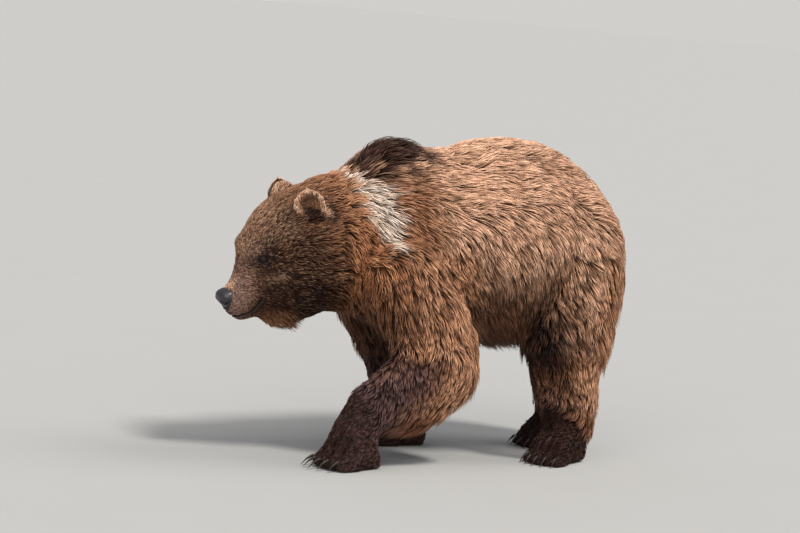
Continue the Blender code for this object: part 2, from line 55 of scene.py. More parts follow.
class Wire:
    def __init__(self, finish, socket):
        self.finish = finish
        self.socket = socket

    def maths(self, operation, *values):
        return self.finish.add("Math", {"operation": operation}, dict(enumerate(values)))

    __add__, __radd__ = operator("ADD"), operator("ADD", True)
    __sub__, __rsub__ = operator("SUBTRACT"), operator("SUBTRACT", True)
    __mul__, __rmul__ = operator("MULTIPLY"), operator("MULTIPLY", True)

    def clamped(self):
        return self.finish.add("Clamp", {}, {0: self})


class Finish:
    def __init__(self, name):
        self.material = bpy.data.materials.new(name)
        self.material.use_nodes = True
        self.tree = self.material.node_tree
        self.tree.nodes.clear()

    def add(self, kind, settings=None, values=None, out=0):
        node = self.tree.nodes.new("ShaderNode" + kind)
        for key, value in (settings or {}).items():
            setattr(node, key, value)
        for key, value in (values or {}).items():
            if isinstance(value, Wire):
                self.tree.links.new(value.socket, node.inputs[key])
            else:
                node.inputs[key].default_value = value
        return Wire(self, node.outputs[out]) if len(node.outputs) else None

    def mark(self, name):  # a number that the mesh carries at each point
        return self.add("Attribute", {"attribute_name": name}, out="Fac")

    def mixed(self, share, one, two, blend="MIX"):
        settings = {"data_type": "RGBA", "blend_type": blend, "clamp_factor": True}
        return self.add("Mix", settings, {0: share, 6: one, 7: two}, out=2)

    def place(self):
        return self.add("TexCoord", out="Object")

    def grain(self, scale, detail):
        values = {"Vector": self.place(), "Scale": scale, "Detail": detail, "Roughness": 0.5}
        return self.add("TexNoise", {}, values)

    def ramp(self, value, low, high):
        return self.add("MapRange", {"interpolation_type": "SMOOTHSTEP"}, {0: value, 1: low, 2: high})

    def bump(self, height, strength, distance):
        return self.add("Bump", {}, {"Height": height, "Strength": strength, "Distance": distance})

    def close(self, values):
        shader = self.add("BsdfPrincipled", {}, values)
        self.add("OutputMaterial", {}, {"Surface": shader})
        return self.material


def tone(red, green, blue):
    return (red, green, blue, 1.0)


# stage: pale floor, soft lights, camera

stage = {
    "floorSize": 400.0,
    "floorTones": (tone(0.325, 0.320, 0.312), tone(0.337, 0.332, 0.323)),
    "sky": (0.86, 0.92, 1.0),  # soft light from all round
    "skyPower": 0.42,
    "beyond": (0.64, 0.625, 0.60),  # what shows past the floor
    "aim": (-0.0076, 0.0194, 0.467),
    "azimuth": -35.0,
    "elevation": 6.0,
    "lean": 5.5,
    "distance": 9.0,
    "lens": 130.5,
    "shift": (-0.03125, 0.0481),
}
softBoxes = {  # where each soft light comes from, its power, its spread in degrees and its colour
    "high key": ((0.25, -1.25, 2.1), 3.15, 13, (1.0, 0.97, 0.92)),
    "rear side": ((1.5, -0.25, 1.7), 1.4, 35, (1.0, 0.97, 0.93)),
    "front fill": ((-0.65, -0.75, 0.55), 1.75, 50, (1.0, 0.98, 0.95)),
}


def makeFloor():
    bm = bmesh.new()
    bmesh.ops.create_grid(bm, x_segments=1, y_segments=1, size=stage["floorSize"] / 2)
    mesh = meshFrom(bm, "floor")
    floor = bpy.data.objects.new("floor", mesh)
    scene.collection.objects.link(floor)
    look = Finish("floor paint")
    shade = look.mixed(look.grain(3.0, 4.0), *stage["floorTones"])
    mesh.materials.append(look.close({"Base Color": shade, "Roughness": 0.85}))


def makeSky():
    world = bpy.data.worlds.new("studio")
    world.use_nodes = True
    tree = world.node_tree
    soft = tree.nodes["Background"]
    soft.inputs["Color"].default_value = (*stage["sky"], 1)
    soft.inputs["Strength"].default_value = stage["skyPower"]
    far = tree.nodes.new("ShaderNodeBackground")
    far.inputs["Color"].default_value = (*stage["beyond"], 1)
    path = tree.nodes.new("ShaderNodeLightPath")
    either = tree.nodes.new("ShaderNodeMixShader")
    tree.links.new(path.outputs["Is Camera Ray"], either.inputs[0])
    tree.links.new(soft.outputs[0], either.inputs[1])
    tree.links.new(far.outputs[0], either.inputs[2])
    tree.links.new(either.outputs[0], tree.nodes["World Output"].inputs["Surface"])
    scene.world = world


def makeStage():
    makeFloor()
    makeSky()
    for name, (source, power, breadth, colour) in softBoxes.items():
        lamp = bpy.data.lights.new(name, "SUN")
        lamp.energy, lamp.color, lamp.angle = power, colour, math.radians(breadth)
        holder = bpy.data.objects.new(name, lamp)
        holder.rotation_mode = "QUATERNION"
        holder.rotation_quaternion = (-Vector(source)).to_track_quat("-Z", "Y")
        holder.location = Vector(source) * 2
        scene.collection.objects.link(holder)
    scene.view_settings.view_transform = "Standard"
    print("stage: floor, sky and", len(softBoxes), "soft lights")


def makeCamera():
    a, e, lean = (math.radians(stage[k]) for k in ("azimuth", "elevation", "lean"))
    back = Vector((math.sin(a) * math.cos(e), -math.cos(a) * math.cos(e), math.sin(e)))
    right = Vector((math.cos(a), math.sin(a), 0))
    up = back.cross(right)
    tiltedRight = right * math.cos(lean) + up * math.sin(lean)
    tiltedUp = up * math.cos(lean) - right * math.sin(lean)
    lens = bpy.data.cameras.new("camera")
    lens.lens = stage["lens"]
    lens.shift_x, lens.shift_y = stage["shift"]
    lens.clip_end = 1000.0
    camera = bpy.data.objects.new("camera", lens)
    place = Vector(stage["aim"]) + back * stage["distance"]
    turn = Matrix((tiltedRight, tiltedUp, back)).transposed().to_4x4()
    camera.matrix_world = Matrix.Translation(place) @ turn
    scene.collection.objects.link(camera)
    scene.camera = camera


# mesh helpers

def newPiece(name, mesh):
    piece = bpy.data.objects.new(name, mesh)
    scene.collection.objects.link(piece)
    return piece


def meshFrom(bm, name):
    mesh = bpy.data.meshes.new(name)
    bm.to_mesh(mesh)
    bm.free()
    return mesh


def copyOf(nodes, name):
    bm = bmesh.new()
    for node in nodes:
        bm.from_mesh(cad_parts[node].data)
    return newPiece(name, meshFrom(bm, name))


def reshape(piece, kind, **settings):  # adds one modifier and bakes it in
    modifier = piece.modifiers.new("step", kind)
    for key, value in settings.items():
        setattr(modifier, key, value)
    graph = bpy.context.evaluated_depsgraph_get()
    mesh = bpy.data.meshes.new_from_object(piece.evaluated_get(graph))
    piece.modifiers.clear()
    old, piece.data = piece.data, mesh
    bpy.data.meshes.remove(old)


def readArray(items, name, wide, kind):
    values = np.empty(len(items) * wide, kind)
    items.foreach_get(name, values)
    return values.reshape(-1, wide)


def pointsOf(mesh):
    return readArray(mesh.vertices, "co", 3, np.float32).astype(float)


def normalsOf(mesh):
    return readArray(mesh.vertex_normals, "vector", 3, np.float32).astype(float)


def edgesOf(mesh):
    return readArray(mesh.edges, "vertices", 2, np.int32)


def setPoints(mesh, points):
    mesh.vertices.foreach_set("co", points.astype(np.float32).ravel())
    mesh.update()


def setSmooth(mesh):
    mesh.polygons.foreach_set("use_smooth", np.ones(len(mesh.polygons), bool))


def unit(vectors):
    return vectors / np.maximum(np.linalg.norm(vectors, axis=-1, keepdims=True), 1e-9)


def flat(vectors, normals):  # the part of each vector that lies along the surface
    return vectors - normals * (vectors * normals).sum(-1, keepdims=True)


def spread(values, edges, rounds, share=0.5):  # each point drifts to its neighbours' mean
    count = len(values)
    degree = np.maximum(np.bincount(edges.ravel(), minlength=count), 1)
    values = values.copy()
    for _ in range(rounds):
        for k in range(values.shape[1]):
            column = values[:, k]
            total = np.bincount(edges[:, 0], column[edges[:, 1]], count)
            total += np.bincount(edges[:, 1], column[edges[:, 0]], count)
            values[:, k] = column * (1 - share) + share * total / degree
    return values


def rise(value, low, high):  # from 0 at low to 1 at high
    t = np.clip((value - low) / (high - low), 0, 1)
    return t * t * (3 - 2 * t)


def fade(value, low, high):  # from 1 at low to 0 at high
    return 1 - rise(value, low, high)


def bell(*terms):  # 1 in the middle, each term is an offset and its breadth
    return np.exp(-sum((offset / breadth) ** 2 for offset, breadth in terms))


def farFrom(*terms):  # distance as a share of the reach, each term is an offset and its reach
    return np.sqrt(sum((offset / reach) ** 2 for offset, reach in terms))


def ripple(points, size, seed, waves=14):  # a soft random field from -1 to 1
    own = np.random.default_rng(seed)
    heading = unit(own.normal(size=(waves, 3)))
    pace = 2 * math.pi / size * own.uniform(0.5, 1.4, waves)
    turn = own.uniform(0, 2 * math.pi, waves)
    total = np.sin(points @ (heading * pace[:, None]).T + turn).sum(1)
    return np.clip(total / math.sqrt(waves / 2) / 1.6, -1, 1)


def setMark(mesh, name, values):
    mark = mesh.attributes.new(name, "FLOAT", "POINT")
    mark.data.foreach_set("value", values.astype(np.float32))


# coat by region: depth from skin to coat tips, lock length and width, locks on a square metre,
# how much a lock waves and how far the tips of a tuft gather

coatColumns = ("depth", "length", "width", "number", "wave", "gather")
coat = {
    "head": (0.0075, 0.024, 0.0028, 71000, 0.0010, 0.36),
    "ear": (0.0045, 0.013, 0.0019, 135000, 0.0003, 0.25),
    "neck": (0.022, 0.062, 0.0042, 30000, 0.0045, 0.66),
    "trunk": (0.024, 0.080, 0.0040, 24500, 0.0026, 0.64),
    "tail": (0.013, 0.050, 0.0040, 28000, 0.0010, 0.60),
    "upper_arm": (0.020, 0.066, 0.0044, 18500, 0.0028, 0.66),
    "forearm": (0.012, 0.042, 0.0046, 23500, 0.0012, 0.60),
    "forepaw": (0.006, 0.025, 0.0040, 34000, 0.0004, 0.36),
    "thigh": (0.022, 0.064, 0.0046, 17500, 0.0022, 0.66),
    "shank": (0.015, 0.046, 0.0044, 20000, 0.0014, 0.64),
    "hindpaw": (0.007, 0.027, 0.0041, 31000, 0.0004, 0.36),
}
fleshNodes = [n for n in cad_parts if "claw" not in n and "eye" not in n and n != "nose"]
kindOf = {n: n.replace("_left", "").replace("_right", "") for n in fleshNodes}
headAt = fleshNodes.index("head")


def middleOf(node):
    low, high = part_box(node)
    return (np.array(low) + np.array(high)) / 2


eyeMiddle = {side: middleOf("eye_" + side) for side in ("left", "right")}
eyeSize = np.ptp(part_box("eye_left"), axis=0).mean() / 2
sideSign = {"left": -1, "right": 1}
headTurn = Matrix.Rotation(math.radians(-4), 3, "Z") @ Matrix.Rotation(math.radians(-28), 3, "Y")
headTurn = np.array(headTurn @ Matrix.Rotation(math.radians(5), 3, "X"))
headOrigin = (eyeMiddle["left"] + eyeMiddle["right"]) / 2 - headTurn @ np.array((-0.181, 0, -0.107))


def inHead(points):  # ahead from the ears, out to the right side, up
    local = (points - headOrigin) @ headTurn
    return -local[..., 0], local[..., 1], local[..., 2]


def fromHead(ahead, out, up):
    return headOrigin + headTurn @ np.array((-ahead, out, up))


headUp, headAhead = headTurn @ np.array((0, 0, 1.0)), headTurn @ np.array((-1.0, 0, 0))
hump = {"middle": (-0.225, -0.020, 0.965), "radii": (0.160, 0.130, 0.098), "ragged": 0.22}
skinShape = {"voxel": 0.007, "smoothing": 8, "softening": 3, "sole": 0.0005}
earShape = {
    "radius": 0.043,
    "crown": 1.06,  # height above the middle, as a share of the radius
    "root": 1.50,   # depth below it
    "wall": 0.012,
    "cup": 0.024,
    "back": 0.014,  # how much rounder the back is than the cup
    "lip": 0.0025,
    "rings": 12,
    "segments": 44,
    "apart": 0.116,
    "open": {"left": 60, "right": 76},  # turn from straight ahead, degrees
    "up": 12,
    "lean": 5,
    "ahead": {"left": 0.009, "right": -0.011},
    "high": {"left": -0.007, "right": -0.024},
    "dip": 0.85,  # how much of the flesh before the ear gives way
}
eyeShape = {"lid": 1.13, "long": 1.26, "open": 0.36, "sunk": 0.55, "bareRing": (1.0, 1.088)}
mouthShape = {
    "points": 60,
    "deep": 0.0095,
    "narrow": 0.0040,
    "lip": 0.0018,  # height of the lips beside the groove
    "lipAt": 0.0085,
    "lipWide": 0.0035,
    "bare": (0.0068, 0.0112),  # the coat starts between these distances
}
toeShape = {"reach": 0.125, "groove": 0.0170, "narrow": 0.0150, "apart": 0.035, "round": 0.17, "high": 0.12}
mouthRun = [  # ahead, out, up: from the middle of the lip to the corner
    (0.306, 0.000, -0.2490), (0.303, 0.014, -0.2485), (0.296, 0.028, -0.2475), (0.283, 0.0400, -0.2470),
    (0.2653, 0.0470, -0.2475), (0.2489, 0.0565, -0.2360), (0.2285, 0.0660, -0.2190),
]
muzzleFront = [  # up and how far ahead the skin may reach there
    (-0.300, 0.255), (-0.284, 0.290), (-0.270, 0.305), (-0.258, 0.308), (-0.250, 0.305), (-0.238, 0.320),
    (-0.224, 0.322), (-0.216, 0.318), (-0.165, 0.312), (-0.150, 0.300),
]


def onHump(points, soft):
    away = np.linalg.norm((points - hump["middle"]) / hump["radii"], axis=1)
    return fade(away + hump["ragged"] * ripple(points, 0.06, 3), 1 - soft, 1 + soft)


def regionShares(points, edges, rounds):  # how much each point belongs to each part of the body
    labels, spots = [], []
    for k, node in enumerate(fleshNodes):
        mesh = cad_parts[node].data
        mesh.calc_loop_triangles()
        tri = pointsOf(mesh)[readArray(mesh.loop_triangles, "vertices", 3, np.int32)]
        for mix in ((1, 0, 0), (0, 1, 0), (0, 0, 1), (1, 1, 1), (4, 1, 1), (1, 4, 1), (1, 1, 4)):
            mix = np.array(mix) / sum(mix)
            spots.append((tri * mix[None, :, None]).sum(1))
            labels.append(np.full(len(tri), k))
    spots, labels = np.concatenate(spots), np.concatenate(labels)
    shares = np.zeros((len(points), len(fleshNodes)))
    shares[np.arange(len(points)), labels[nearest(treeOf(spots), points)]] = 1
    return spread(shares, edges, rounds)


def treeOf(points):
    tree = kdtree.KDTree(len(points))
    for k, point in enumerate(points):
        tree.insert(point, k)
    tree.balance()
    return tree


def nearest(tree, points):
    return np.array([tree.find(p)[1] for p in points])


def awayFrom(points, spots):
    tree = treeOf(spots)
    return np.array([tree.find(p)[2] for p in points])


headZones = {  # what the coat gains or loses over each part of the head
    "nape": dict(depth=0.007, length=0.020, width=0.0014, number=-38000, wave=0.002),
    "foreFace": dict(depth=-0.0035, length=-0.007, width=-0.0005, number=30000),
    "tip": dict(depth=-0.0015, length=-0.004, width=-0.0003, number=30000),
    "byEyes": dict(depth=-0.003, length=-0.006),
    "cheek": dict(depth=0.006, length=0.012, width=0.0008, number=-25000, wave=0.003),
    "jaw": dict(depth=0.006, length=0.016),
    "beard": dict(length=0.003, width=0.0012, number=-20000),
}
leastCoat = {"depth": 0.0015, "length": 0.006}


def zonesOf(points, head):
    ahead, out, up = inHead(points)
    byEar = farFrom((ahead + 0.005, 1), (np.abs(out) - 0.125, 1), (0.6 * (up + 0.02), 1))
    byEyes = sum(fade(np.linalg.norm(points - m, axis=1), 0.020, 0.055) for m in eyeMiddle.values())
    zones = {
        "nape": fade(ahead, -0.03, 0.11) * rise(byEar, 0.040, 0.085),
        "foreFace": rise(ahead, 0.13, 0.22),
        "tip": rise(ahead, 0.22, 0.32),
        "byEyes": np.clip(byEyes, 0, 1),
        "cheek": fade(ahead, 0.02, 0.17) * rise(-up, 0.05, 0.15),
        "jaw": fade(ahead, 0.16, 0.24) * rise(-up, 0.22, 0.30),
        "beard": fade(farFrom((ahead - 0.206, 0.056), (up + 0.320, 0.055)), 0.35, 1.30),
        "muzzle": rise(ahead + 0.35 * (up + 0.17), 0.212, 0.275),
    }
    return {name: head * share for name, share in zones.items()}


def coatMarks(points, normals, shares):
    marks = dict(zip(coatColumns, (shares @ np.array([coat[kindOf[n]] for n in fleshNodes])).T.copy()))
    head, z = shares[:, headAt], points[:, 2]
    zones = zonesOf(points, head)
    for zone, changes in headZones.items():
        for name, change in changes.items():
            marks[name] += change * zones[zone]
    for name, least in leastCoat.items():
        marks[name] = np.maximum(marks[name], least)
    marks["depth"] *= rise(z, 0.002, 0.030)  # none under the soles
    limbs = 1 - head - shares[:, fleshNodes.index("neck")]
    loose = np.clip(rise(normals[:, 0], 0.15, 0.8) + rise(-normals[:, 2], 0.3, 0.9), 0, 1)
    loose *= limbs * fade(z, 0.62, 0.80) * rise(z, 0.07, 0.16)
    marks["loose"] = np.maximum(loose, 0.9 * zones["beard"])
    marks["muzzle"], marks["beard"] = zones["muzzle"], zones["beard"]
    marks["crest"] = onHump(points, 0.5)
    return marks


def finer(mesh, chosen):  # splits the edges between chosen points
    bm = bmesh.new()
    bm.from_mesh(mesh)
    bm.verts.ensure_lookup_table()
    edges = [e for e in bm.edges if chosen[e.verts[0].index] and chosen[e.verts[1].index]]
    bmesh.ops.subdivide_edges(bm, edges=edges, cuts=1, use_grid_fill=True)
    bmesh.ops.triangulate(bm, faces=[f for f in bm.faces if len(f.verts) > 4])
    bm.to_mesh(mesh)
    bm.free()


def mouthPath(sign):
    path = np.array([fromHead(a, o * sign, u) for a, o, u in mouthRun])
    steps = np.linspace(0, len(path) - 1, mouthShape["points"])
    return np.stack([np.interp(steps, np.arange(len(path)), path[:, k]) for k in range(3)], 1)


def refineHead(mesh):  # the whole head first, then closer and closer to the eyes and lips
    for eyeReach, lipReach in ((None, None), (0.040, 0.020), (0.024, 0.011)):
        points = pointsOf(mesh)
        if eyeReach is None:
            ahead, out, up = inHead(points)
            chosen = (ahead > -0.05) & (np.abs(out) < 0.2) & (up > -0.36)
            chosen &= ahead + 0.8 * (up + 0.36) > 0.08  # not the throat
        else:
            eyes = awayFrom(points, np.array(list(eyeMiddle.values()))) < eyeReach
            lips = awayFrom(points, np.concatenate([mouthPath(-1), mouthPath(1)])) < lipReach
            chosen = eyes | lips
        finer(mesh, chosen)
        points = pointsOf(mesh)
        ahead, out, up = inHead(points)
        near = (0.5 if eyeReach is None else 0.4) * rise(ahead, -0.06, 0.0) * fade(np.abs(out), 0.19, 0.2)
        setPoints(mesh, spread(points, edgesOf(mesh), 3, near))


def eyeAxes(side):
    sign = sideSign[side]
    gaze = unit(headTurn @ np.array((-0.60, sign * 0.80, 0.05)))
    inner = unit(flat(headAhead - 0.22 * headUp, gaze))
    over = np.cross(gaze, inner)
    over = over if over @ headUp > 0 else -over
    return gaze, inner, over


def setLids(points, side):
    shape = eyeShape
    gaze, inner, over = eyeAxes(side)
    local = (points - eyeMiddle[side]) / eyeSize
    a, b, c = local @ inner, local @ over, local @ gaze  # towards the nose, up, out
    away = np.hypot(a, b)
    near = (c > -1.2) & (away < 3.5)
    lid = np.sqrt(np.maximum(shape["lid"] ** 2 - away ** 2, 0.0))
    lid = np.where(away < 1, lid, np.sqrt(shape["lid"] ** 2 - 1) + 0.30 * (away - 1))
    hold = fade(away, 1.1, 2.7)
    height = c * (1 - hold) + lid * hold
    half = shape["open"] * np.maximum(1 - (a / shape["long"]) ** 2, 0) ** 0.75
    middle = 0.10 * a ** 2 - 0.04
    edge = np.abs(b - middle) - half
    height += 0.10 * bell((edge - 0.12, 0.12)) * (away < 1.9)  # rim of both lids
    height -= 0.10 * bell((b - middle - half - 0.50, 0.13)) * (np.abs(a) < 1.2)  # fold of the upper lid
    height += 0.22 * bell((b - 1.15, 0.40), (a, 1.3))  # brow
    height -= 0.10 * bell((b + 0.85, 0.14), (a, 1.0))  # fold under the eye
    opened = fade(edge, -0.10, 0.02)
    height = height * (1 - opened) - shape["sunk"] * opened
    moved = points + gaze * ((height - c) * eyeSize)[:, None]
    ring = farFrom((a, np.where(a > 0, 1.9, 1.35)), (b + 0.15 * a, 0.95))
    return np.where(near[:, None], moved, points), fade(ring, *shape["bareRing"]) * near


def setMuzzle(points):  # the front slopes back under the nose, and the bridge is filled
    ahead, out, up = inHead(points)
    ups, reach = np.array(muzzleFront).T
    limit = np.interp(up, ups, reach) - 6.0 * out ** 2
    over = np.maximum(ahead - limit, 0) * (np.abs(out) < 0.06) * (up > -0.30)
    bridge = 0.005 * bell((ahead - 0.214, 0.020), (out, 0.045), (up + 0.085, 0.04))
    return points - headAhead * over[:, None] + (0.5 * headAhead + 0.85 * headUp) * bridge[:, None]


def setMouth(points, normals):
    shape = mouthShape
    bare = np.zeros(len(points))
    tree = treeOf(points)
    chain = np.arange(shape["points"])
    for sign in (-1, 1):
        on = points[nearest(tree, mouthPath(sign))]
        on = spread(on, np.stack([chain[:-1], chain[1:]], 1), 6)
        away = awayFrom(points, on)
        deep = shape["deep"] * bell((away, shape["narrow"]))
        full = shape["lip"] * bell((away - shape["lipAt"], shape["lipWide"]))
        points = points - normals * (deep - full)[:, None]
        bare = np.maximum(bare, fade(away, *shape["bare"]))
    return points, bare


def shapeFace(mesh):
    points, edges = setMuzzle(pointsOf(mesh)), edgesOf(mesh)
    points = spread(points, edges, 3, 0.5 * rise(inHead(points)[0], 0.27, 0.29))
    dipped = dipByEars(points)
    near = 0.5 * np.clip(np.linalg.norm(dipped - points, axis=1) / 0.003, 0, 1)
    points = spread(dipped, edges, 2, near)
    setPoints(mesh, points)
    points, bare = setMouth(points, normalsOf(mesh))
    for side in eyeMiddle:
        points, lids = setLids(points, side)
        bare = np.maximum(bare, lids)
    setPoints(mesh, points)
    return bare


def earStand(side):
    sign, shape = sideSign[side], earShape
    turn = Matrix.Rotation(math.radians(180 - sign * shape["open"][side]), 4, "Z")
    stand = turn @ Matrix.Rotation(math.radians(-shape["up"]), 4, "Y")
    tilt = Matrix.Rotation(math.radians(-sign * shape["lean"]), 4, "X")
    place = Matrix.Translation((-shape["ahead"][side], sign * shape["apart"], shape["high"][side]))
    return Matrix.Translation(headOrigin) @ Matrix(headTurn).to_4x4() @ place @ tilt @ stand


def earRow(bm, share, face):  # one ring of the cup, face 1, or of the back of the ear, face -1
    shape, row = earShape, []
    dish = 1 - share ** 2
    depth = -shape["cup"] * dish
    if face == -1:
        depth -= shape["wall"] * math.sqrt(max(1 - share ** 6, 0)) + shape["back"] * dish
    else:
        depth += shape["lip"] * math.sqrt(max(1 - share ** 8, 0)) * share ** 4
    for k in range(shape["segments"]):
        turning = 2 * math.pi * k / shape["segments"]
        tall = shape["crown"] if math.sin(turning) > 0 else shape["root"]
        across = shape["radius"] * share * math.cos(turning)
        row.append(bm.verts.new((depth, across, shape["radius"] * tall * share * math.sin(turning))))
    return row


def earMesh(side):
    rings, segments = earShape["rings"], earShape["segments"]
    bm = bmesh.new()
    cup = [earRow(bm, r / rings, 1) for r in range(1, rings + 1)]
    cupMiddle = bm.verts.new((-earShape["cup"], 0, 0))
    back = [earRow(bm, r / rings, -1) for r in range(1, rings)] + [cup[-1]]
    backMiddle = bm.verts.new((-earShape["cup"] - earShape["wall"] - earShape["back"], 0, 0))
    for middle, rows in ((cupMiddle, cup), (backMiddle, back)):
        for k in range(segments):
            n = (k + 1) % segments
            bm.faces.new((middle, rows[0][k], rows[0][n]))
            for one, two in zip(rows, rows[1:]):
                bm.faces.new((one[k], two[k], two[n], one[n]))
    bmesh.ops.recalc_face_normals(bm, faces=bm.faces)
    bmesh.ops.transform(bm, verts=bm.verts, matrix=earStand(side))
    return meshFrom(bm, "ear form")


def inEar(points, side):  # out of the cup, across, up, and the share of the way to the rim
    local = np.c_[points, np.ones(len(points))] @ np.array(earStand(side).inverted()).T
    x, y, z = local[:, 0], local[:, 1], local[:, 2]
    tall = np.where(z > 0, earShape["crown"], earShape["root"])
    return x, y, z, np.hypot(y, z / tall) / earShape["radius"]


def dipByEars(points):  # a hollow in front of each ear opens its cup to view
    for side in eyeMiddle:
        x, _, _, share = inEar(points, side)
        over = np.maximum(x + 0.012, 0) * (x < 0.07) * earShape["dip"] * fade(share, 0.70, 1.30)
        mouthward = np.array(earStand(side))[:3, 0]
        points = points - mouthward * over[:, None]
    return points


def partToes(points, normals):  # presses a groove between each two toes, back from the claws
    shape, gaps = toeShape, np.zeros(len(points))
    for foot in [n for n in fleshNodes if "paw" in n]:
        claws = [middleOf(n) for n in sorted(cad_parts) if n.startswith(foot.replace("paw", "_claw"))]
        middle = middleOf(foot)
        run = unit((np.mean(claws, 0) - middle) * (1, 1, 0))
        aside = np.array((-run[1], run[0], 0))
        back = (np.mean(claws, 0) - points) @ run
        lines = np.array([[(c - middle) @ aside] for c in claws])
        first, second = np.sort(np.abs((points - middle) @ aside - lines), 0)[:2]
        between = bell((second - first, shape["narrow"])) * (second < shape["apart"])
        close = np.linalg.norm((points - middle)[:, :2], axis=1) < shape["round"]
        close &= (back > -0.02) & (points[:, 2] < shape["high"])
        gaps += between * fade(back, 0.45 * shape["reach"], shape["reach"]) * close
    return points - normals * (shape["groove"] * gaps)[:, None], gaps


def markEars(marks, points, shares):
    for name in ("earInside", "earRim", "earHollow"):
        marks[name] = np.zeros(len(points))
    for side in ("left", "right"):
        x, _, z, share = inEar(points, side)
        own = shares[:, fleshNodes.index("ear_" + side)]
        dish = earShape["cup"] * (1 - share ** 2)
        marks["earInside"] += own * rise(x + dish, -0.006, -0.001) * fade(share, 0.72, 0.95)
        marks["earRim"] += own * rise(share, 0.56, 0.84)
        ahead = inHead(points)[0] - earShape["ahead"][side]
        # earHollow: painted shade in the low part of the ear's cup and the hollow before it
        low = rise(0.75 * ahead - z, -0.004, 0.034) * fade(share, 0.72, 1.02)
        marks["earHollow"] += np.clip(own + 0.8 * shares[:, headAt], 0, 1) * low * (x > -0.03)


def makeSkin():
    skin = copyOf([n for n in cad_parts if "claw" not in n and "ear_" not in n], "bear_skin")
    reshape(skin, "REMESH", mode="VOXEL", voxel_size=skinShape["voxel"])
    mesh = skin.data
    edges, points = edgesOf(mesh), pointsOf(mesh)
    firm = 0.5 * (0.12 + 0.88 * rise(points[:, 2], 0.06, 0.13))  # the soles keep their flats
    points = spread(points, edges, skinShape["smoothing"], firm)
    setPoints(mesh, points)
    print("skin: remeshed", len(points), "points")
    marks = coatMarks(points, normalsOf(mesh), regionShares(points, edges, 12))
    inset = points - normalsOf(mesh) * marks["depth"][:, None]
    inset = spread(inset, edges, skinShape["softening"], firm)
    setPoints(mesh, inset)
    inset = partToes(inset, normalsOf(mesh))[0]
    inset[:, 2] = np.maximum(inset[:, 2], skinShape["sole"])
    setPoints(mesh, inset)
    refineHead(mesh)
    bare = shapeFace(mesh)
    tree = treeOf(pointsOf(mesh))
    for side in ("left", "right"):
        form = newPiece("ear form " + side, earMesh(side))
        reshape(skin, "BOOLEAN", object=form, operation="UNION", solver="EXACT")
        bpy.data.objects.remove(form)
    mesh = skin.data
    points = pointsOf(mesh)
    shares = regionShares(points, edgesOf(mesh), 10)
    marks = coatMarks(points, normalsOf(mesh), shares)
    marks["bare"] = bare[nearest(tree, points)]
    # toeGap also carries painted shade in the grooves between the toes
    marks["toeGap"] = np.clip(partToes(points, normalsOf(mesh))[1], 0, 1)
    marks["length"] -= 0.013 * marks["toeGap"]
    marks["number"] *= 1 - 0.6 * marks["toeGap"]
    markEars(marks, points, shares)
    setSmooth(mesh)
    print("skin: finished with", len(points), "points")
    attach(skin, "root")
    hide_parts(*fleshNodes)
    return skin, shares, marks


# which way the coat lies

limbRun = {
    "upper_arm": (0.34, 0.0, -1.0),
    "thigh": (0.42, 0.0, -1.0),
    "neck": (0.80, 0.0, -0.80),
    "trunk": (1.0, 0.0, -1.60),
    "tail": (0.35, 0.0, -1.0),
}


def runOf(node):
    kind = kindOf[node]
    if kind in limbRun:
        return np.array(limbRun[kind])
    side = node.rsplit("_", 1)[1]
    if kind == "forearm":
        return unit(middleOf("forepaw_" + side) - middleOf("upper_arm_" + side)) + (0.16, 0, -0.1)
    if kind == "shank":
        return unit(middleOf("hindpaw_" + side) - middleOf("thigh_" + side)) + (0.12, 0, 0)
    return np.array((-1.0, 0.0, -0.55))


def layOf(points, normals, shares, edges):
    lay = np.zeros_like(points)
    noseTip = fromHead(0.38, 0.0, -0.14)
    for k, node in enumerate(fleshNodes):
        share = shares[:, k][:, None]
        if node == "head":
            heading = unit(points - noseTip) + (0.05, 0, -0.30)
        elif node.startswith("ear"):
            base = middleOf(node) + (0.035, 0.02 if node.endswith("left") else -0.02, -0.07)
            heading = unit(points - base)
        else:
            heading = np.repeat(runOf(node)[None, :], len(points), 0)
            if node in ("trunk", "neck"):  # along the top it runs straight back
                heading[:, 2] *= 1 - 0.85 * rise(normals[:, 2], 0.05, 0.60)
        lay += share * heading
    lay = unit(flat(lay, normals))
    for _ in range(6):
        lay = unit(flat(spread(lay, edges, 1, 0.6), normals))
    return lay


# markings, with some painted shade and light, shared by the skin and the coat

creamBand = [  # along the front edge of the shoulder: place, half width
    ((-0.358, 0.010, 0.888), 0.009),
    ((-0.338, -0.062, 0.857), 0.023),
    ((-0.312, -0.108, 0.825), 0.047),
    ((-0.296, -0.146, 0.785), 0.055),
    ((-0.284, -0.172, 0.738), 0.045),
    ((-0.278, -0.192, 0.688), 0.030),
    ((-0.274, -0.200, 0.650), 0.010),
]


def bandShare(points, mirror=1.0):
    best = np.full(len(points), 9.0)
    for (one, wideOne), (two, wideTwo) in zip(creamBand, creamBand[1:]):
        one, two = (np.array(p) * (1, mirror, 1) for p in (one, two))
        run = two - one
        t = np.clip((points - one) @ run / (run @ run), 0, 1)
        away = np.linalg.norm(points - one - t[:, None] * run, axis=1)
        best = np.minimum(best, away / (wideOne + t * (wideTwo - wideOne)))
    return fade(best + 0.30 * ripple(points, 0.04, 5), 0.65, 1.25)


markNames = ("gold", "rufous", "sock", "dark", "muzzle", "pale", "cream", "bare")  # mixed in this order
frontEdge = {  # height and how far forward each foreleg reaches there
    "left": [(0.00, -0.47), (0.10, -0.44), (0.24, -0.37), (0.42, -0.31), (0.60, -0.30)],
    "right": [(0.00, -0.05), (0.10, -0.03), (0.24, -0.08), (0.42, -0.22), (0.60, -0.28)],
}


def pastFront(points):  # distance back from the front edge of the foreleg
    gap = {}
    for side in ("left", "right"):
        heights, edge = np.array(frontEdge[side]).T
        gap[side] = points[:, 0] - np.interp(points[:, 2], heights, edge)
    return np.where(points[:, 1] < 0.0, gap["left"], gap["right"])


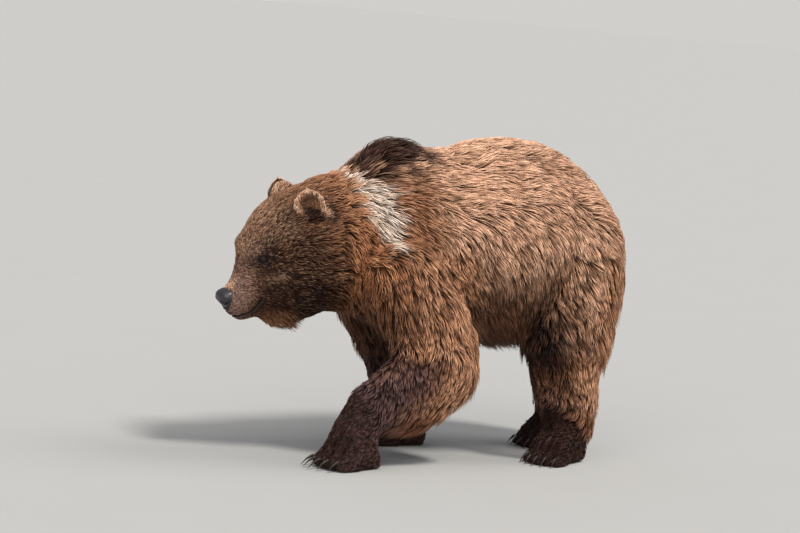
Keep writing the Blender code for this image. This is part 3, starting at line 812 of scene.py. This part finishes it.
def pastHindLeg(points):  # distance back from the line between hind paw and thigh
    gap = {}
    for side in ("left", "right"):
        foot, root = middleOf("hindpaw_" + side), middleOf("thigh_" + side)
        t = (points[:, 2] - foot[2]) / (root[2] - foot[2])
        gap[side] = points[:, 0] - foot[0] - t * (root[0] - foot[0])
    between = (middleOf("forepaw_left")[1] + middleOf("forepaw_right")[1]) / 2
    return np.where(points[:, 1] < between, gap["left"], gap["right"])


strokes = {  # for each part: marking (a few are painted shade and light), strength and the places that bound it
    "body": [
        ("gold", 1.0, "upper"), ("gold", -0.80, "upper", "shoulder", "belowCrest"),
        ("rufous", 0.45, "rump"), ("rufous", 0.60, "shoulder", "belowHump"),
        ("dark", 0.286, "lowSide"), ("dark", 0.234, "lowSide", "aboveBelly"),
        # dark on the shoulder and chest is painted shade, in the fold between neck and shoulder and on the
        # front of the chest
        ("dark", 0.20, "shoulder", "belowCrest"), ("dark", 0.40, "shoulder", "chest"),
        ("ticked", 0.25, "shoulder"),
    ],
    "neck": [
        # dark on the throat and the front of the neck is painted shade
        ("gold", 0.58, "upperNeck"), ("rufous", 0.66), ("dark", 0.20, "throat"),
        # dark behindEar: painted shade behind and below the ear
        ("dark", 0.20, "foreNeck"), ("dark", 0.55, "behindEar"), ("ticked", 0.35, "offHollow"),
    ],
    # on the limbs, dark on the inner faces is darker fur with painted shade between the legs
    "arm": [
        # gold on the rear edge: golden fur with painted light
        ("gold", 0.26), ("gold", 0.54, "armRear"), ("rufous", 0.50), ("sock", 0.55, "armFront", "elbow"),
        ("dark", 0.62, "inner"), ("dark", 0.30, "armFront", "lowArm"), ("ticked", 0.35),
    ],
    "forearm": [
        # gold on the rear edge: golden fur with painted light
        ("gold", 0.80, "foreRear", "aboveFoot"), ("rufous", 0.60, "aboveWrist"), ("sock", 1.0, "foreFront"),
        ("sock", -0.7, "foreFront", "foreTop"), ("dark", 0.62, "inner"),
        ("dark", 0.30, "foreFront", "midForearm"), ("ticked", 0.20),
    ],
    "forepaw": [("sock", 1.0), ("dark", 0.66)],
    # dark on the front of thigh and shank is darker fur with painted shade
    "thigh": [
        # gold on the haunch: golden fur with painted light
        ("gold", 0.42), ("gold", 0.53, "haunch", "aboveHock"), ("rufous", 0.50, "rearThigh"),
        ("dark", 0.80, "inner"), ("dark", 1.0, "foreThigh"), ("ticked", 0.20),
    ],
    "shank": [
        # gold on the rear edge: golden fur with painted light
        ("gold", 1.0, "hindRear", "aboveFoot"), ("rufous", 0.55, "aboveHeel"),
        ("sock", 0.8, "hindFront", "lowShank"), ("dark", 0.80, "inner"),
        ("dark", 1.0, "hindFront", "topShank"), ("ticked", 0.20),
    ],
    "hindpaw": [("sock", 1.0), ("dark", 0.95)],
    # painted shade in the grooves between the toes
    "toeGap": [("dark", 1.0)],
    "hump": [("dark", 1.1)],
    "head": [
        # dark behindEar: painted shade behind and below the ear
        # dark byEye: a dark patch round each eye, with painted shade under the brow
        ("rufous", 0.55), ("dark", 0.60, "byEye"), ("dark", 0.55, "behindEar"), ("pale", 0.30, "cheekSpot"),
        ("pale", 0.30, "browSpot"), ("pale", 0.30, "forehead"), ("bare", 1.0, "lip"),
    ],
    "nape": [("gold", 0.40, "crown"), ("dark", 0.42)],
    "face": [
        ("rufous", -0.40), ("rufous", 0.55, "jaw"), ("dark", 0.58, "clear"), ("dark", 0.12, "clear", "jaw"),
        ("dark", 0.30, "clear", "faceSide"),
    ],
    # pale muzzleTop, on the upward-facing skin, is paler fur with painted light
    "muzzle": [("dark", 0.40, "muzzleSide"), ("pale", 0.75, "muzzleTop")],
    "beard": [("rufous", 0.4), ("gold", 0.35)],
    "ear": [("dark", -0.25), ("pale", 0.60, "offHollow"), ("pale", -0.48, "inEar", "offHollow")],
    "earRim": [("pale", 1.0)],
    # painted shade in the low hollow of each ear
    "earHollow": [("dark", 1.1)],
}


bodySpans = {  # a place comes in from the first value to the second, in metres
    "height": {
        "belowCrest": (0.93, 0.84), "belowHump": (0.92, 0.80), "aboveBelly": (0.38, 0.46),
        "upperNeck": (0.62, 0.80), "lowArm": (0.62, 0.46), "aboveFoot": (0.12, 0.26),
        "aboveWrist": (0.12, 0.30), "midForearm": (0.24, 0.40), "aboveHock": (0.20, 0.50),
        "aboveHeel": (0.14, 0.30), "lowShank": (0.34, 0.14), "topShank": (0.18, 0.32),
    },
    "wavy height": {
        "upper": (0.42, 0.64), "chest": (0.66, 0.52), "throat": (0.68, 0.50), "elbow": (0.50, 0.32),
        "foreTop": (0.28, 0.44),
    },
    "length": {
        "shoulder": (-0.04, -0.20), "rump": (0.46, 0.66), "foreNeck": (-0.34, -0.44),
        "rearThigh": (0.40, 0.56),
    },
}


def placesIn(spans, axes):
    return {name: rise(axes[axis], *span) for axis, group in spans.items() for name, span in group.items()}


def bodyPlaces(points, normals):
    x, y, z = points.T
    slow = ripple(points, 0.22, 8)
    places = placesIn(bodySpans, {"height": z, "wavy height": z + 0.05 * slow, "length": x})
    places["lowSide"] = fade(z + 0.04 * slow, 0.48, 0.70) * rise(x, -0.08, 0.10)
    places["chest"] *= fade(np.abs(y), 0.17, 0.23)
    # inner faces of the legs, turned to the other side: their dark is darker fur with painted shade between
    # the legs
    places["inner"] = rise(-normals[:, 1] * np.sign(y - 0.01), -0.05, 0.55)
    # haunch, the rear of the thigh: its gold is golden fur with painted light
    places["haunch"] = rise(x + 0.35 * (z - 0.55) + 0.03 * slow, 0.33, 0.48)
    # front of the thigh: its dark is darker fur with painted shade
    places["foreThigh"] = fade(x + 0.75 * (z - 0.55) + 0.05 * slow, 0.22, 0.34) * fade(z, 0.52, 0.64)
    foreleg, hindLeg = pastFront(points) + 0.02 * slow, pastHindLeg(points) + 0.02 * slow
    # the rear edges of the legs take gold: golden fur with painted light
    for name, past, span in (("fore", foreleg, (0.10, 0.29)), ("arm", foreleg, (0.02, 0.16)),
                             ("hind", hindLeg, (-0.110, 0.020))):
        places[name + "Rear"] = rise(past, *span)
        places[name + "Front"] = 1 - places[name + "Rear"]
    return places


headSpans = {
    "ahead": {"frontal": (-0.08, 0.08)},
    "up": {"crown": (-0.16, -0.04)},
    "side": {"faceSide": (0.035, 0.070), "muzzleSide": (0.026, 0.050)},
}


def headPlaces(points, normals, marks):
    ahead, out, up = inHead(points)
    side = np.abs(out)
    fromEyes = [np.linalg.norm(points - m - (0, 0, 0.012), axis=1) for m in eyeMiddle.values()]
    earBack = farFrom((ahead + 0.045, 0.034), (side - 0.125, 0.05), (up + 0.045, 0.055))
    cheekSpot = farFrom((ahead - 0.175, 0.030), (up + 0.168, 0.018))
    lip = farFrom((ahead - 0.314, 0.036), (out, 0.029), (up + 0.224, 0.022))
    places = placesIn(headSpans, {"ahead": ahead, "up": up, "side": side})
    return {
        **places,
        # dark patch round each eye, with painted shade under the brow
        "byEye": fade(np.min(fromEyes, axis=0), 0.020, 0.052),
        # painted shade behind and below the ear
        "behindEar": fade(earBack, 0.5, 1.3),
        "cheekSpot": fade(cheekSpot, 0.5, 1.3) * rise(side, 0.05, 0.07),
        "browSpot": fade(farFrom((ahead - 0.200, 0.024), (up + 0.080, 0.020)), 0.4, 1.2),
        "forehead": rise(up, -0.10, -0.02) * rise(ahead, 0.02, 0.12),
        "lip": fade(lip, 0.7, 1.15),
        "jaw": rise(-up, 0.14, 0.26) * fade(ahead, 0.14, 0.22),
        "clear": (1 - 0.85 * marks["muzzle"]) * (1 - 0.5 * marks["beard"]),
        # lighter upward-facing top of the muzzle: paler fur with painted light
        "muzzleTop": fade(side, 0.012, 0.034) * rise(normals[:, 2], 0.1, 0.6),
        "inEar": marks["earInside"],
        "offHollow": 1 - marks["earHollow"],
    }


def markingsAndPaintedLight(points, normals, shares, marks):
    places = {**bodyPlaces(points, normals), **headPlaces(points, normals, marks)}
    own = dict(marks, hump=onHump(points, 0.35), head=shares[:, headAt])
    for kind in set(kindOf.values()) - {"head"}:
        own[kind] = sum(shares[:, k] for k, n in enumerate(fleshNodes) if kindOf[n] == kind)
    own["body"], own["arm"] = own["trunk"] + own["tail"], own["upper_arm"]
    own["face"] = own["head"] * places["frontal"]
    own["nape"] = own["head"] - own["face"]
    found = {name: np.zeros(len(points)) for name in (*markNames, "ticked")}
    for part, touches in strokes.items():
        for name, strength, *where in touches:
            found[name] += strength * math.prod([places[w] for w in where], start=own[part])
    grizzled = own["head"] * (1 - own["muzzle"]) * (1 - 0.6 * own["nape"])
    found["ticked"] += 0.82 * grizzled * places["offHollow"]
    found["muzzle"] = marks["muzzle"]
    found["bare"] = np.maximum(found["bare"], marks["bare"])
    found["cream"] = bandShare(points) + 0.7 * bandShare(points, -1.0)
    return {k: np.clip(v, 0, 1) for k, v in found.items()}


coatTones = {  # each at its brightest, as on the tips that catch the light
    "brown": tone(0.420, 0.200, 0.110),
    "gold": tone(1.000, 0.635, 0.440),
    "rufous": tone(0.660, 0.295, 0.135),
    "sock": tone(0.165, 0.096, 0.098),
    "dark": tone(0.064, 0.027, 0.019),
    "muzzle": tone(0.520, 0.325, 0.265),
    "pale": tone(1.000, 0.650, 0.450),
    "cream": tone(1.000, 0.880, 0.780),
    "bare": tone(0.017, 0.011, 0.010),
    "ticked": tone(0.620, 0.410, 0.240),  # light hair tips on the face
    "ticking": 0.68,
    # level at the lock roots: darker undercoat with painted shade between the locks
    "root": 0.12,
    "usual": 0.86,    # level of a lock of middling tone
    "spread": 1.30,
    "roughness": 0.50,
    "shine": 0.13,
}


def coatColour(look):
    shade = coatTones["brown"]
    for name in markNames:
        shade = look.mixed(look.mark(name), shade, coatTones[name])
    return shade


def scaled(look, shade, level):
    grey = look.add("CombineColor", {}, {0: level, 1: level, 2: level})
    return look.mixed(1.0, shade, grey, "MULTIPLY")


def coatFinish():
    look = Finish("coat")
    along, own = look.mark("along"), look.mark("tone")
    shade = coatColour(look)
    ticking = look.ramp(along, 0.45, 0.95) * look.ramp(own, 0.50, 0.85) * look.mark("ticked")
    shade = look.mixed((ticking * coatTones["ticking"]).clamped(), shade, coatTones["ticked"])
    patchy = look.grain(9.0, 3.0)
    level = coatTones["usual"] + (own - 0.5) * coatTones["spread"] + (patchy - 0.5) * 0.30
    root = coatTones["root"]
    level = look.add("Math", {"operation": "MAXIMUM"}, {0: level.clamped(), 1: 0.98 * look.mark("cream")})
    # roots darker: darker undercoat with painted shade between the locks
    level = level * (root + (1 - root) * look.ramp(along, 0.15, 0.90))
    deeper = (1 - look.ramp(along, 0.2, 0.95)) * 0.7 + (1 - look.ramp(own, 0.15, 0.70)) * 0.5
    warm = look.mixed(deeper.clamped(), shade, look.mixed(1.0, shade, tone(1.0, 0.80, 0.64), "MULTIPLY"))
    values = {"Base Color": scaled(look, warm, level), "Roughness": coatTones["roughness"],
              "Specular IOR Level": coatTones["shine"]}
    return look.close(values)


def skinFinish():
    look = Finish("skin under the coat")
    shade = coatColour(look)
    hairs = look.grain(330.0, 3.0)
    streak = look.grain(70.0, 2.0)
    bare, muzzle = look.mark("bare"), look.mark("muzzle")
    level = 0.10 + 0.25 * hairs + 0.15 * streak + 0.22 * muzzle
    level = level * (1 - bare) + bare * (0.35 + 0.8 * hairs)
    pores = look.add("TexVoronoi", {}, {"Vector": look.place(), "Scale": 700.0})
    height = hairs * (1 - bare) + pores * bare * 0.6
    bumps = look.bump(height, 0.6, 0.0016)
    values = {"Base Color": scaled(look, shade, level), "Roughness": 0.70 - 0.14 * bare, "Normal": bumps,
              "Specular IOR Level": 0.26}
    return look.close(values)


# the coat itself: closed tapering locks that follow the skin

lockShape = {
    "perTuft": 8,     # locks whose tips draw together
    "aimless": 0.13,  # turn of one lock against its neighbours, radians
    "swirl": 0.26,    # slow drift of the lie over the body
    "thick": 0.36,    # share of the width
    "steps": 4,
    "lengths": (0.65, 1.25),  # shares of the length, height and width set for the region
    "heights": (0.65, 1.30),
    "widths": (0.65, 1.35),
    "rooted": 0.002,  # how far a root lies under the skin
    "roll": 0.40,
    "wavelength": 0.036,
    "drop": {"loose": 0.30, "beard": 0.34},  # share of the length by which a tip hangs
}


class Surface:  # the skin as arrays, with a nearest point search
    def __init__(self, skin, shares, marks):
        mesh = skin.data
        self.points, self.normals = pointsOf(mesh), normalsOf(mesh)
        self.edges, self.shares, self.marks = edgesOf(mesh), shares, marks
        calm = unit(spread(self.normals, self.edges, 3))
        self.lay = layOf(self.points, calm, shares, self.edges)
        mesh.calc_loop_triangles()
        self.faces = readArray(mesh.loop_triangles, "vertices", 3, np.int32)
        self.tree = treeOf(self.points)

    def dropOnto(self, points):
        k = nearest(self.tree, points)
        normal = self.normals[k]
        gap = ((points - self.points[k]) * normal).sum(1, keepdims=True)
        return points - normal * gap, normal, self.lay[k]


def scatter(skin):
    tri = skin.points[skin.faces]
    area = np.linalg.norm(np.cross(tri[:, 1] - tri[:, 0], tri[:, 2] - tri[:, 0]), axis=1) / 2
    number = skin.marks["number"] * fade(skin.marks["bare"], 0.25, 0.6)
    weight = area * number[skin.faces].mean(1) * (tri[:, :, 2].max(1) > 0.004)
    total = int(weight.sum())
    draws = (np.arange(total) + dice.random(total)) / total * weight.sum()
    pick = np.minimum(np.searchsorted(np.cumsum(weight), draws), len(weight) - 1)
    a, b = dice.random((2, total))
    over = a + b > 1
    a[over], b[over] = 1 - a[over], 1 - b[over]
    mix = np.stack([1 - a - b, a, b], 1)
    corner = skin.faces[pick]

    def take(values):
        return (values[corner] * mix.reshape(total, 3, *[1] * (values.ndim - 1))).sum(1)

    roots = {"place": take(skin.points), "normal": unit(take(skin.normals)), "lay": take(skin.lay)}
    roots["shares"] = take(skin.shares)
    for name, values in skin.marks.items():
        roots[name] = take(values)
    roots["lay"] = unit(flat(roots["lay"], roots["normal"]))
    print("coat:", total, "locks on", round(area.sum(), 2), "square metres")
    return roots


def turned(vectors, normals, angles):
    side = np.cross(normals, vectors)
    return vectors * np.cos(angles)[:, None] + side * np.sin(angles)[:, None]


def growLocks(skin, roots):
    shape, steps = lockShape, lockShape["steps"]
    place, normal, lay = roots["place"], roots["normal"], roots["lay"]
    loose, beard = roots["loose"], roots["beard"]
    count = len(place)
    shortest, longest = shape["lengths"]
    length = roots["length"] * dice.uniform(shortest - 0.30 * beard, longest, count) * (1 + 0.60 * loose)
    angle = shape["swirl"] * ripple(place, 0.14, 21) + dice.normal(0, shape["aimless"], count)
    height = roots["depth"] * dice.uniform(*shape["heights"], count)
    height = height * (1 + 0.5 * loose + 0.12 * roots["crest"])
    path, up = [place - normal * shape["rooted"]], [normal]
    heading = turned(lay, normal, angle)
    spot = place
    for _ in range(steps):
        spot, normal, lay = skin.dropOnto(spot + heading * (length / steps)[:, None])
        heading = unit(flat(0.45 * heading + 0.55 * turned(lay, normal, angle), normal))
        path.append(spot)
        up.append(normal)
    path, up = np.stack(path, 1), np.stack(up, 1)
    t = np.linspace(0, 1, steps + 1)[None, :]
    lift = np.sin(np.minimum(t * 1.15, 1) * math.pi / 2) ** 0.9
    path = path + up * (lift * height[:, None])[..., None]
    path[..., 2] -= (length * sum(drop * roots[k] for k, drop in shape["drop"].items()))[:, None] * t ** 2
    # locks of one tuft draw together
    seeds = dice.permutation(count)[: count // shape["perTuft"]]
    tuft = seeds[nearest(treeOf(place[seeds]), place)]
    pull = (roots["gather"][:, None] * t ** 1.3)[..., None]
    path = path + pull * (path[tuft] - path)
    side = unit(np.cross(up, np.gradient(path, axis=1)))
    phase = dice.uniform(0, 2 * math.pi, count)[tuft] + dice.normal(0, 0.3, count)
    wave = np.sin(t * (length / shape["wavelength"] * 2 * math.pi)[:, None] + phase[:, None]) * t
    path = path + side * (wave * roots["wave"][:, None])[..., None]
    path[..., 2] = np.maximum(path[..., 2], 0.0015)
    return path, up, tuft


def resampled(values, steps):  # fewer rings along each lock
    old = np.linspace(0, 1, values.shape[1])
    parts = []
    for t in np.linspace(0, 1, steps + 1):
        k = min(int(t * (len(old) - 1)), len(old) - 2)
        f = t * (len(old) - 1) - k
        parts.append(values[:, k] * (1 - f) + values[:, k + 1] * f)
    return np.stack(parts, 1)


def lockFaces(rings):  # three sides from ring to ring, an end cap and a point
    faces = [(0, 2, 1)]
    for r in range(rings - 2):
        for c in range(3):
            a, b = 3 * r + c, 3 * r + (c + 1) % 3
            faces += [(a, b, b + 3), (a, b + 3, a + 3)]
    last = 3 * (rings - 2)
    return np.array(faces + [(last + c, last + (c + 1) % 3, last + 3) for c in range(3)], np.int32)


def lockMesh(name, path, up, roots):
    count, rings = path.shape[:2]
    run = unit(np.gradient(path, axis=1))
    side = unit(np.cross(up, run))
    roll = dice.normal(0, lockShape["roll"], count)[:, None, None]
    out = unit(np.cross(run, side))
    side, out = side * np.cos(roll) + out * np.sin(roll), out * np.cos(roll) - side * np.sin(roll)
    t = np.linspace(0, 1, rings)[None, :, None]
    width = roots["width"] * dice.uniform(*lockShape["widths"], count)
    width = np.maximum(width[:, None, None] * (0.62 + 1.0 * t - 1.55 * t ** 2.2), 0.0004)
    thick = width * lockShape["thick"]
    left = path - side * width / 2 - out * thick / 2
    right = path + side * width / 2 - out * thick / 2
    body = np.stack([left, right, path + out * thick / 2], 2)[:, :-1]  # locks, rings, corners
    perLock = 3 * (rings - 1) + 1
    points = np.concatenate([body.reshape(count, -1, 3), path[:, -1:]], 1).reshape(-1, 3)
    points[:, 2] = np.maximum(points[:, 2], 0.0008)
    corners = (lockFaces(rings)[None] + (np.arange(count) * perLock)[:, None, None]).reshape(-1, 3)
    mesh = bpy.data.meshes.new(name)
    mesh.vertices.add(len(points))
    mesh.loops.add(corners.size)
    mesh.polygons.add(len(corners))
    mesh.vertices.foreach_set("co", points.astype(np.float32).ravel())
    mesh.loops.foreach_set("vertex_index", corners.ravel())
    mesh.polygons.foreach_set("loop_start", np.arange(0, corners.size, 3))
    mesh.polygons.foreach_set("loop_total", np.full(len(corners), 3))
    setSmooth(mesh)
    mesh.update(calc_edges=True)
    along = np.tile(np.append(np.repeat(np.linspace(0, 1, rings)[:-1], 3), 1.0), count)
    across = np.tile(np.append(np.tile([0.0, 1.0, 0.5], rings - 1), 0.5), count)
    setMark(mesh, "along", along)
    for mark in ("tone", "ticked", *markNames):
        setMark(mesh, mark, np.repeat(roots[mark], perLock))
    u = np.repeat(roots["u"], perLock) + (across - 0.5) * 0.003
    v = np.repeat(roots["v"], perLock) + along * 0.003
    layer = mesh.uv_layers.new(name="OFBake")
    layer.data.foreach_set("uv", np.stack([u, v], 1)[corners.ravel()].astype(np.float32).ravel())
    return mesh


def wrapPlaces(place, normal, axis):  # an unwrap of the skin round its run: turn about it, way along it
    run = unit(np.array(axis, float))
    one = unit(np.cross(run, (0.0, 1.0, 0.0)))
    offset = place - place.mean(0) + 0.02 * normal
    turn = np.arctan2(offset @ one, offset @ np.cross(run, one))
    return [0.02 + 0.95 * (v - v.min()) / np.ptp(v) for v in (turn, offset @ run)]


def coatPieces(roots):  # the name of each piece, which locks it holds and its slot
    groups = {"head": ("head", "ear"), "neck": ("neck",), "trunk": ("trunk", "tail")}
    for side in ("left", "right"):
        groups["fore_" + side] = tuple(f"{k}_{side}" for k in ("upper_arm", "forearm", "forepaw"))
        groups["hind_" + side] = tuple(f"{k}_{side}" for k in ("thigh", "shank", "hindpaw"))
    held = [[n in names or kindOf[n] in names for n in fleshNodes] for names in groups.values()]
    best = (roots["shares"] @ np.array(held, float).T).argmax(1)
    whole = {name: best == k for k, name in enumerate(groups)}
    place = roots["place"]
    middle = np.median(place[whole["trunk"]], axis=0)
    near, rear = place[:, 1] < middle[1], place[:, 0] > middle[0]
    ahead, out, _ = inHead(place)
    face = ahead > 0.17
    head, trunk = whole["head"], whole["trunk"]
    pieces = [
        ("face", head & face, "coat_head"),
        ("head_left", head & ~face & (out < 0), "coat_head"),
        ("head_right", head & ~face & (out >= 0), "coat_head"),
        ("neck", whole["neck"], "coat_body"),
        ("shoulders_left", trunk & ~rear & near, "coat_body"),
        ("shoulders_right", trunk & ~rear & ~near, "coat_body"),
        ("rump_left", trunk & rear & near, "coat_body"),
        ("rump_right", trunk & rear & ~near, "coat_body"),
    ]
    for name in ("fore_left", "fore_right", "hind_left", "hind_right"):
        pieces.append((name, whole[name], "coat_leg"))
    return pieces


def makeCoat(skin, shares, marks, finish):
    surface = Surface(skin, shares, marks)
    # a lock shows its colour at its tips, so the markings and painted shade are read there
    shown = surface.points + surface.normals * marks["depth"][:, None]
    shown = shown + surface.lay * (0.72 * marks["length"])[:, None]
    surface.marks.update(markingsAndPaintedLight(shown, surface.normals, shares, marks))
    for name in markNames:
        setMark(skin.data, name, surface.marks[name])
    roots = scatter(surface)
    path, up, tuft = growLocks(surface, roots)
    count = len(tuft)
    onHead, onTrunk = (roots["shares"][:, fleshNodes.index(n)] for n in ("head", "trunk"))
    tuftTone = (0.36 - 0.10 * onTrunk - 0.13 * onHead) * dice.normal(0, 1, count)[tuft]
    lockTone = (0.26 + 0.24 * onHead) * dice.normal(0, 1, count)
    roots["tone"] = np.clip(0.5 + 0.5 * (tuftTone + lockTone), 0, 1)
    total = 0
    for name, mask, slot in coatPieces(roots):
        some = {k: v[mask] for k, v in roots.items()}
        axis = (0, 0, 1) if slot == "coat_leg" else (1, 0, 0)
        some["u"], some["v"] = wrapPlaces(some["place"], some["normal"], axis)
        steps = 4 if name == "neck" else 3
        mesh = lockMesh("coat_" + name, resampled(path[mask], steps), resampled(up[mask], steps), some)
        piece = newPiece("coat_" + name, mesh)
        mesh.materials.append(finish)
        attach(piece, "root")
        total += len(mesh.polygons)
        print("coat:", name, int(mask.sum()), "locks", len(mesh.polygons), "faces")
    print("coat faces in all:", total)


# eyes, nose and claws

def makeEyes():
    look = Finish("eye")
    ring = look.mark("fromPupil")
    iris = look.mixed(look.grain(900.0, 3.0), tone(0.016, 0.008, 0.005), tone(0.045, 0.020, 0.010))
    shade = look.mixed(look.ramp(ring, 0.36, 0.42), tone(0.002, 0.002, 0.002), iris)
    shade = look.mixed(look.ramp(ring, 0.78, 0.92), shade, tone(0.012, 0.008, 0.006))
    finish = look.close({"Base Color": shade, "Roughness": 0.32, "Specular IOR Level": 0.3,
                         "Coat Weight": 0.12, "Coat Roughness": 0.05})
    for side, middle in eyeMiddle.items():
        gaze = eyeAxes(side)[0]
        bm = bmesh.new()
        bmesh.ops.create_uvsphere(bm, u_segments=40, v_segments=28, radius=eyeSize)
        turn = Vector(gaze).to_track_quat("Z", "Y").to_matrix().to_4x4()
        bmesh.ops.transform(bm, verts=bm.verts, matrix=Matrix.Translation(Vector(middle)) @ turn)
        mesh = meshFrom(bm, "eye_" + side)
        points = pointsOf(mesh)
        facing = unit(points - middle) @ gaze
        bulge = 0.06 * eyeSize * rise(facing, 0.70, 0.95)
        setPoints(mesh, points + gaze * bulge[:, None])
        setMark(mesh, "fromPupil", np.arccos(np.clip(facing, -1, 1)))
        setSmooth(mesh)
        mesh.materials.append(finish)
        piece = newPiece("eyeball_" + side, mesh)
        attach(piece, "root")
        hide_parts("eye_" + side)
    print("eyes: two")


noseShape = {
    "middle": (0.3085, 0.0, -0.1925),
    "size": (0.0275, 0.0405, 0.0295),  # half depth, half width, half height
    "boxy": (0.80, 0.84, 0.90),  # 1 is round, less is squarer
    "holeAt": (0.0165, -0.004),
    "holeWide": 0.0085,
    "holeDeep": 0.013,
    "slitAt": (0.0290, -0.0035),
    "slitWide": (0.0100, 0.0034),
    "slitDeep": 0.0055,
    "wing": 0.0022,
    "groove": (0.0016, 0.0022),  # width and depth of the groove down the middle
}


def noseFinish():
    look = Finish("nose leather")
    cells = {"Vector": look.place(), "Scale": 430.0}
    cells = look.add("TexVoronoi", {"feature": "DISTANCE_TO_EDGE"}, cells)
    shade = look.mixed(look.grain(60.0, 3.0), tone(0.007, 0.006, 0.007), tone(0.024, 0.021, 0.025))
    # painted shade inside the nostrils, darker where the dent is deeper
    shade = look.mixed(look.mark("nostril"), shade, tone(0.003, 0.002, 0.002))
    bumps = look.bump(look.ramp(cells, 0.0, 0.15), 0.45, 0.0005)
    return look.close({"Base Color": shade, "Roughness": 0.40, "Normal": bumps,
                       "Coat Weight": 0.25, "Coat Roughness": 0.24})


def makeNose():
    shape = noseShape
    bm = bmesh.new()
    bmesh.ops.create_icosphere(bm, subdivisions=6, radius=1.0)
    mesh = meshFrom(bm, "nose_pad")
    ball = pointsOf(mesh)
    ahead, _, up = ball.T
    a, o, u = (np.sign(ball) * np.abs(ball) ** shape["boxy"] * shape["size"]).T
    a = a + (0.004 * up * (ahead > 0) - 0.003 * (1 - up)) * ahead
    o = o * (0.86 + 0.20 * up - 0.10 * up ** 2)
    side = np.abs(o)
    (holeOut, holeUp), (slitOut, slitUp) = shape["holeAt"], shape["slitAt"]
    slitLong, slitTall = shape["slitWide"]
    hole = np.hypot(side - holeOut, u - holeUp) / shape["holeWide"]
    slit = farFrom((side - slitOut, slitLong), (u - slitUp - 0.35 * (side - slitOut), slitTall))
    front = rise(ahead, 0.05, 0.45)
    deep = fade(hole, 0.45, 1.10) * shape["holeDeep"] + fade(slit, 0.45, 1.15) * shape["slitDeep"]
    wing = shape["wing"] * bell((hole - 1.45, 0.35)) * rise(u, -0.012, 0.004)
    narrow, low = shape["groove"]
    groove = bell((o, narrow)) * low * fade(u, 0.000, 0.012)
    a -= (deep + groove - wing) * front
    middle = shape["middle"]
    points = headOrigin + np.stack([-(a + middle[0]), o, u + middle[2]], 1) @ headTurn.T
    setPoints(mesh, spread(points, edgesOf(mesh), 1))
    # nostril: painted shade, from how deep the dent is
    setMark(mesh, "nostril", np.clip(deep / 0.007, 0, 1) * front)
    setSmooth(mesh)
    mesh.materials.append(noseFinish())
    piece = newPiece("nose_pad", mesh)
    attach(piece, "root")
    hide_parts("nose")
    print("nose: pad with", len(mesh.vertices), "points")


def makeClaws():
    look = Finish("claw horn")
    shade = look.mixed(look.grain(130.0, 3.0), tone(0.009, 0.007, 0.006), tone(0.034, 0.023, 0.018))
    ribs = look.bump(look.grain(300.0, 2.0), 0.2, 0.0005)
    finish = look.close({"Base Color": shade, "Roughness": 0.55, "Specular IOR Level": 0.3, "Normal": ribs})
    for node in sorted(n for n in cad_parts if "claw" in n):
        piece = copyOf([node], node.replace("claw", "nail"))
        reshape(piece, "REMESH", mode="VOXEL", voxel_size=0.0012)
        mesh = piece.data
        setPoints(mesh, spread(pointsOf(mesh), edgesOf(mesh), 3))
        setSmooth(mesh)
        mesh.materials.append(finish)
        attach(piece, "root")
        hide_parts(node)
    print("claws: done")


makeStage()
makeCamera()
bearSkin, bearShares, bearMarks = makeSkin()
makeCoat(bearSkin, bearShares, bearMarks, coatFinish())
bearSkin.data.materials.append(skinFinish())
makeEyes()
makeNose()
makeClaws()
print("scene: done")
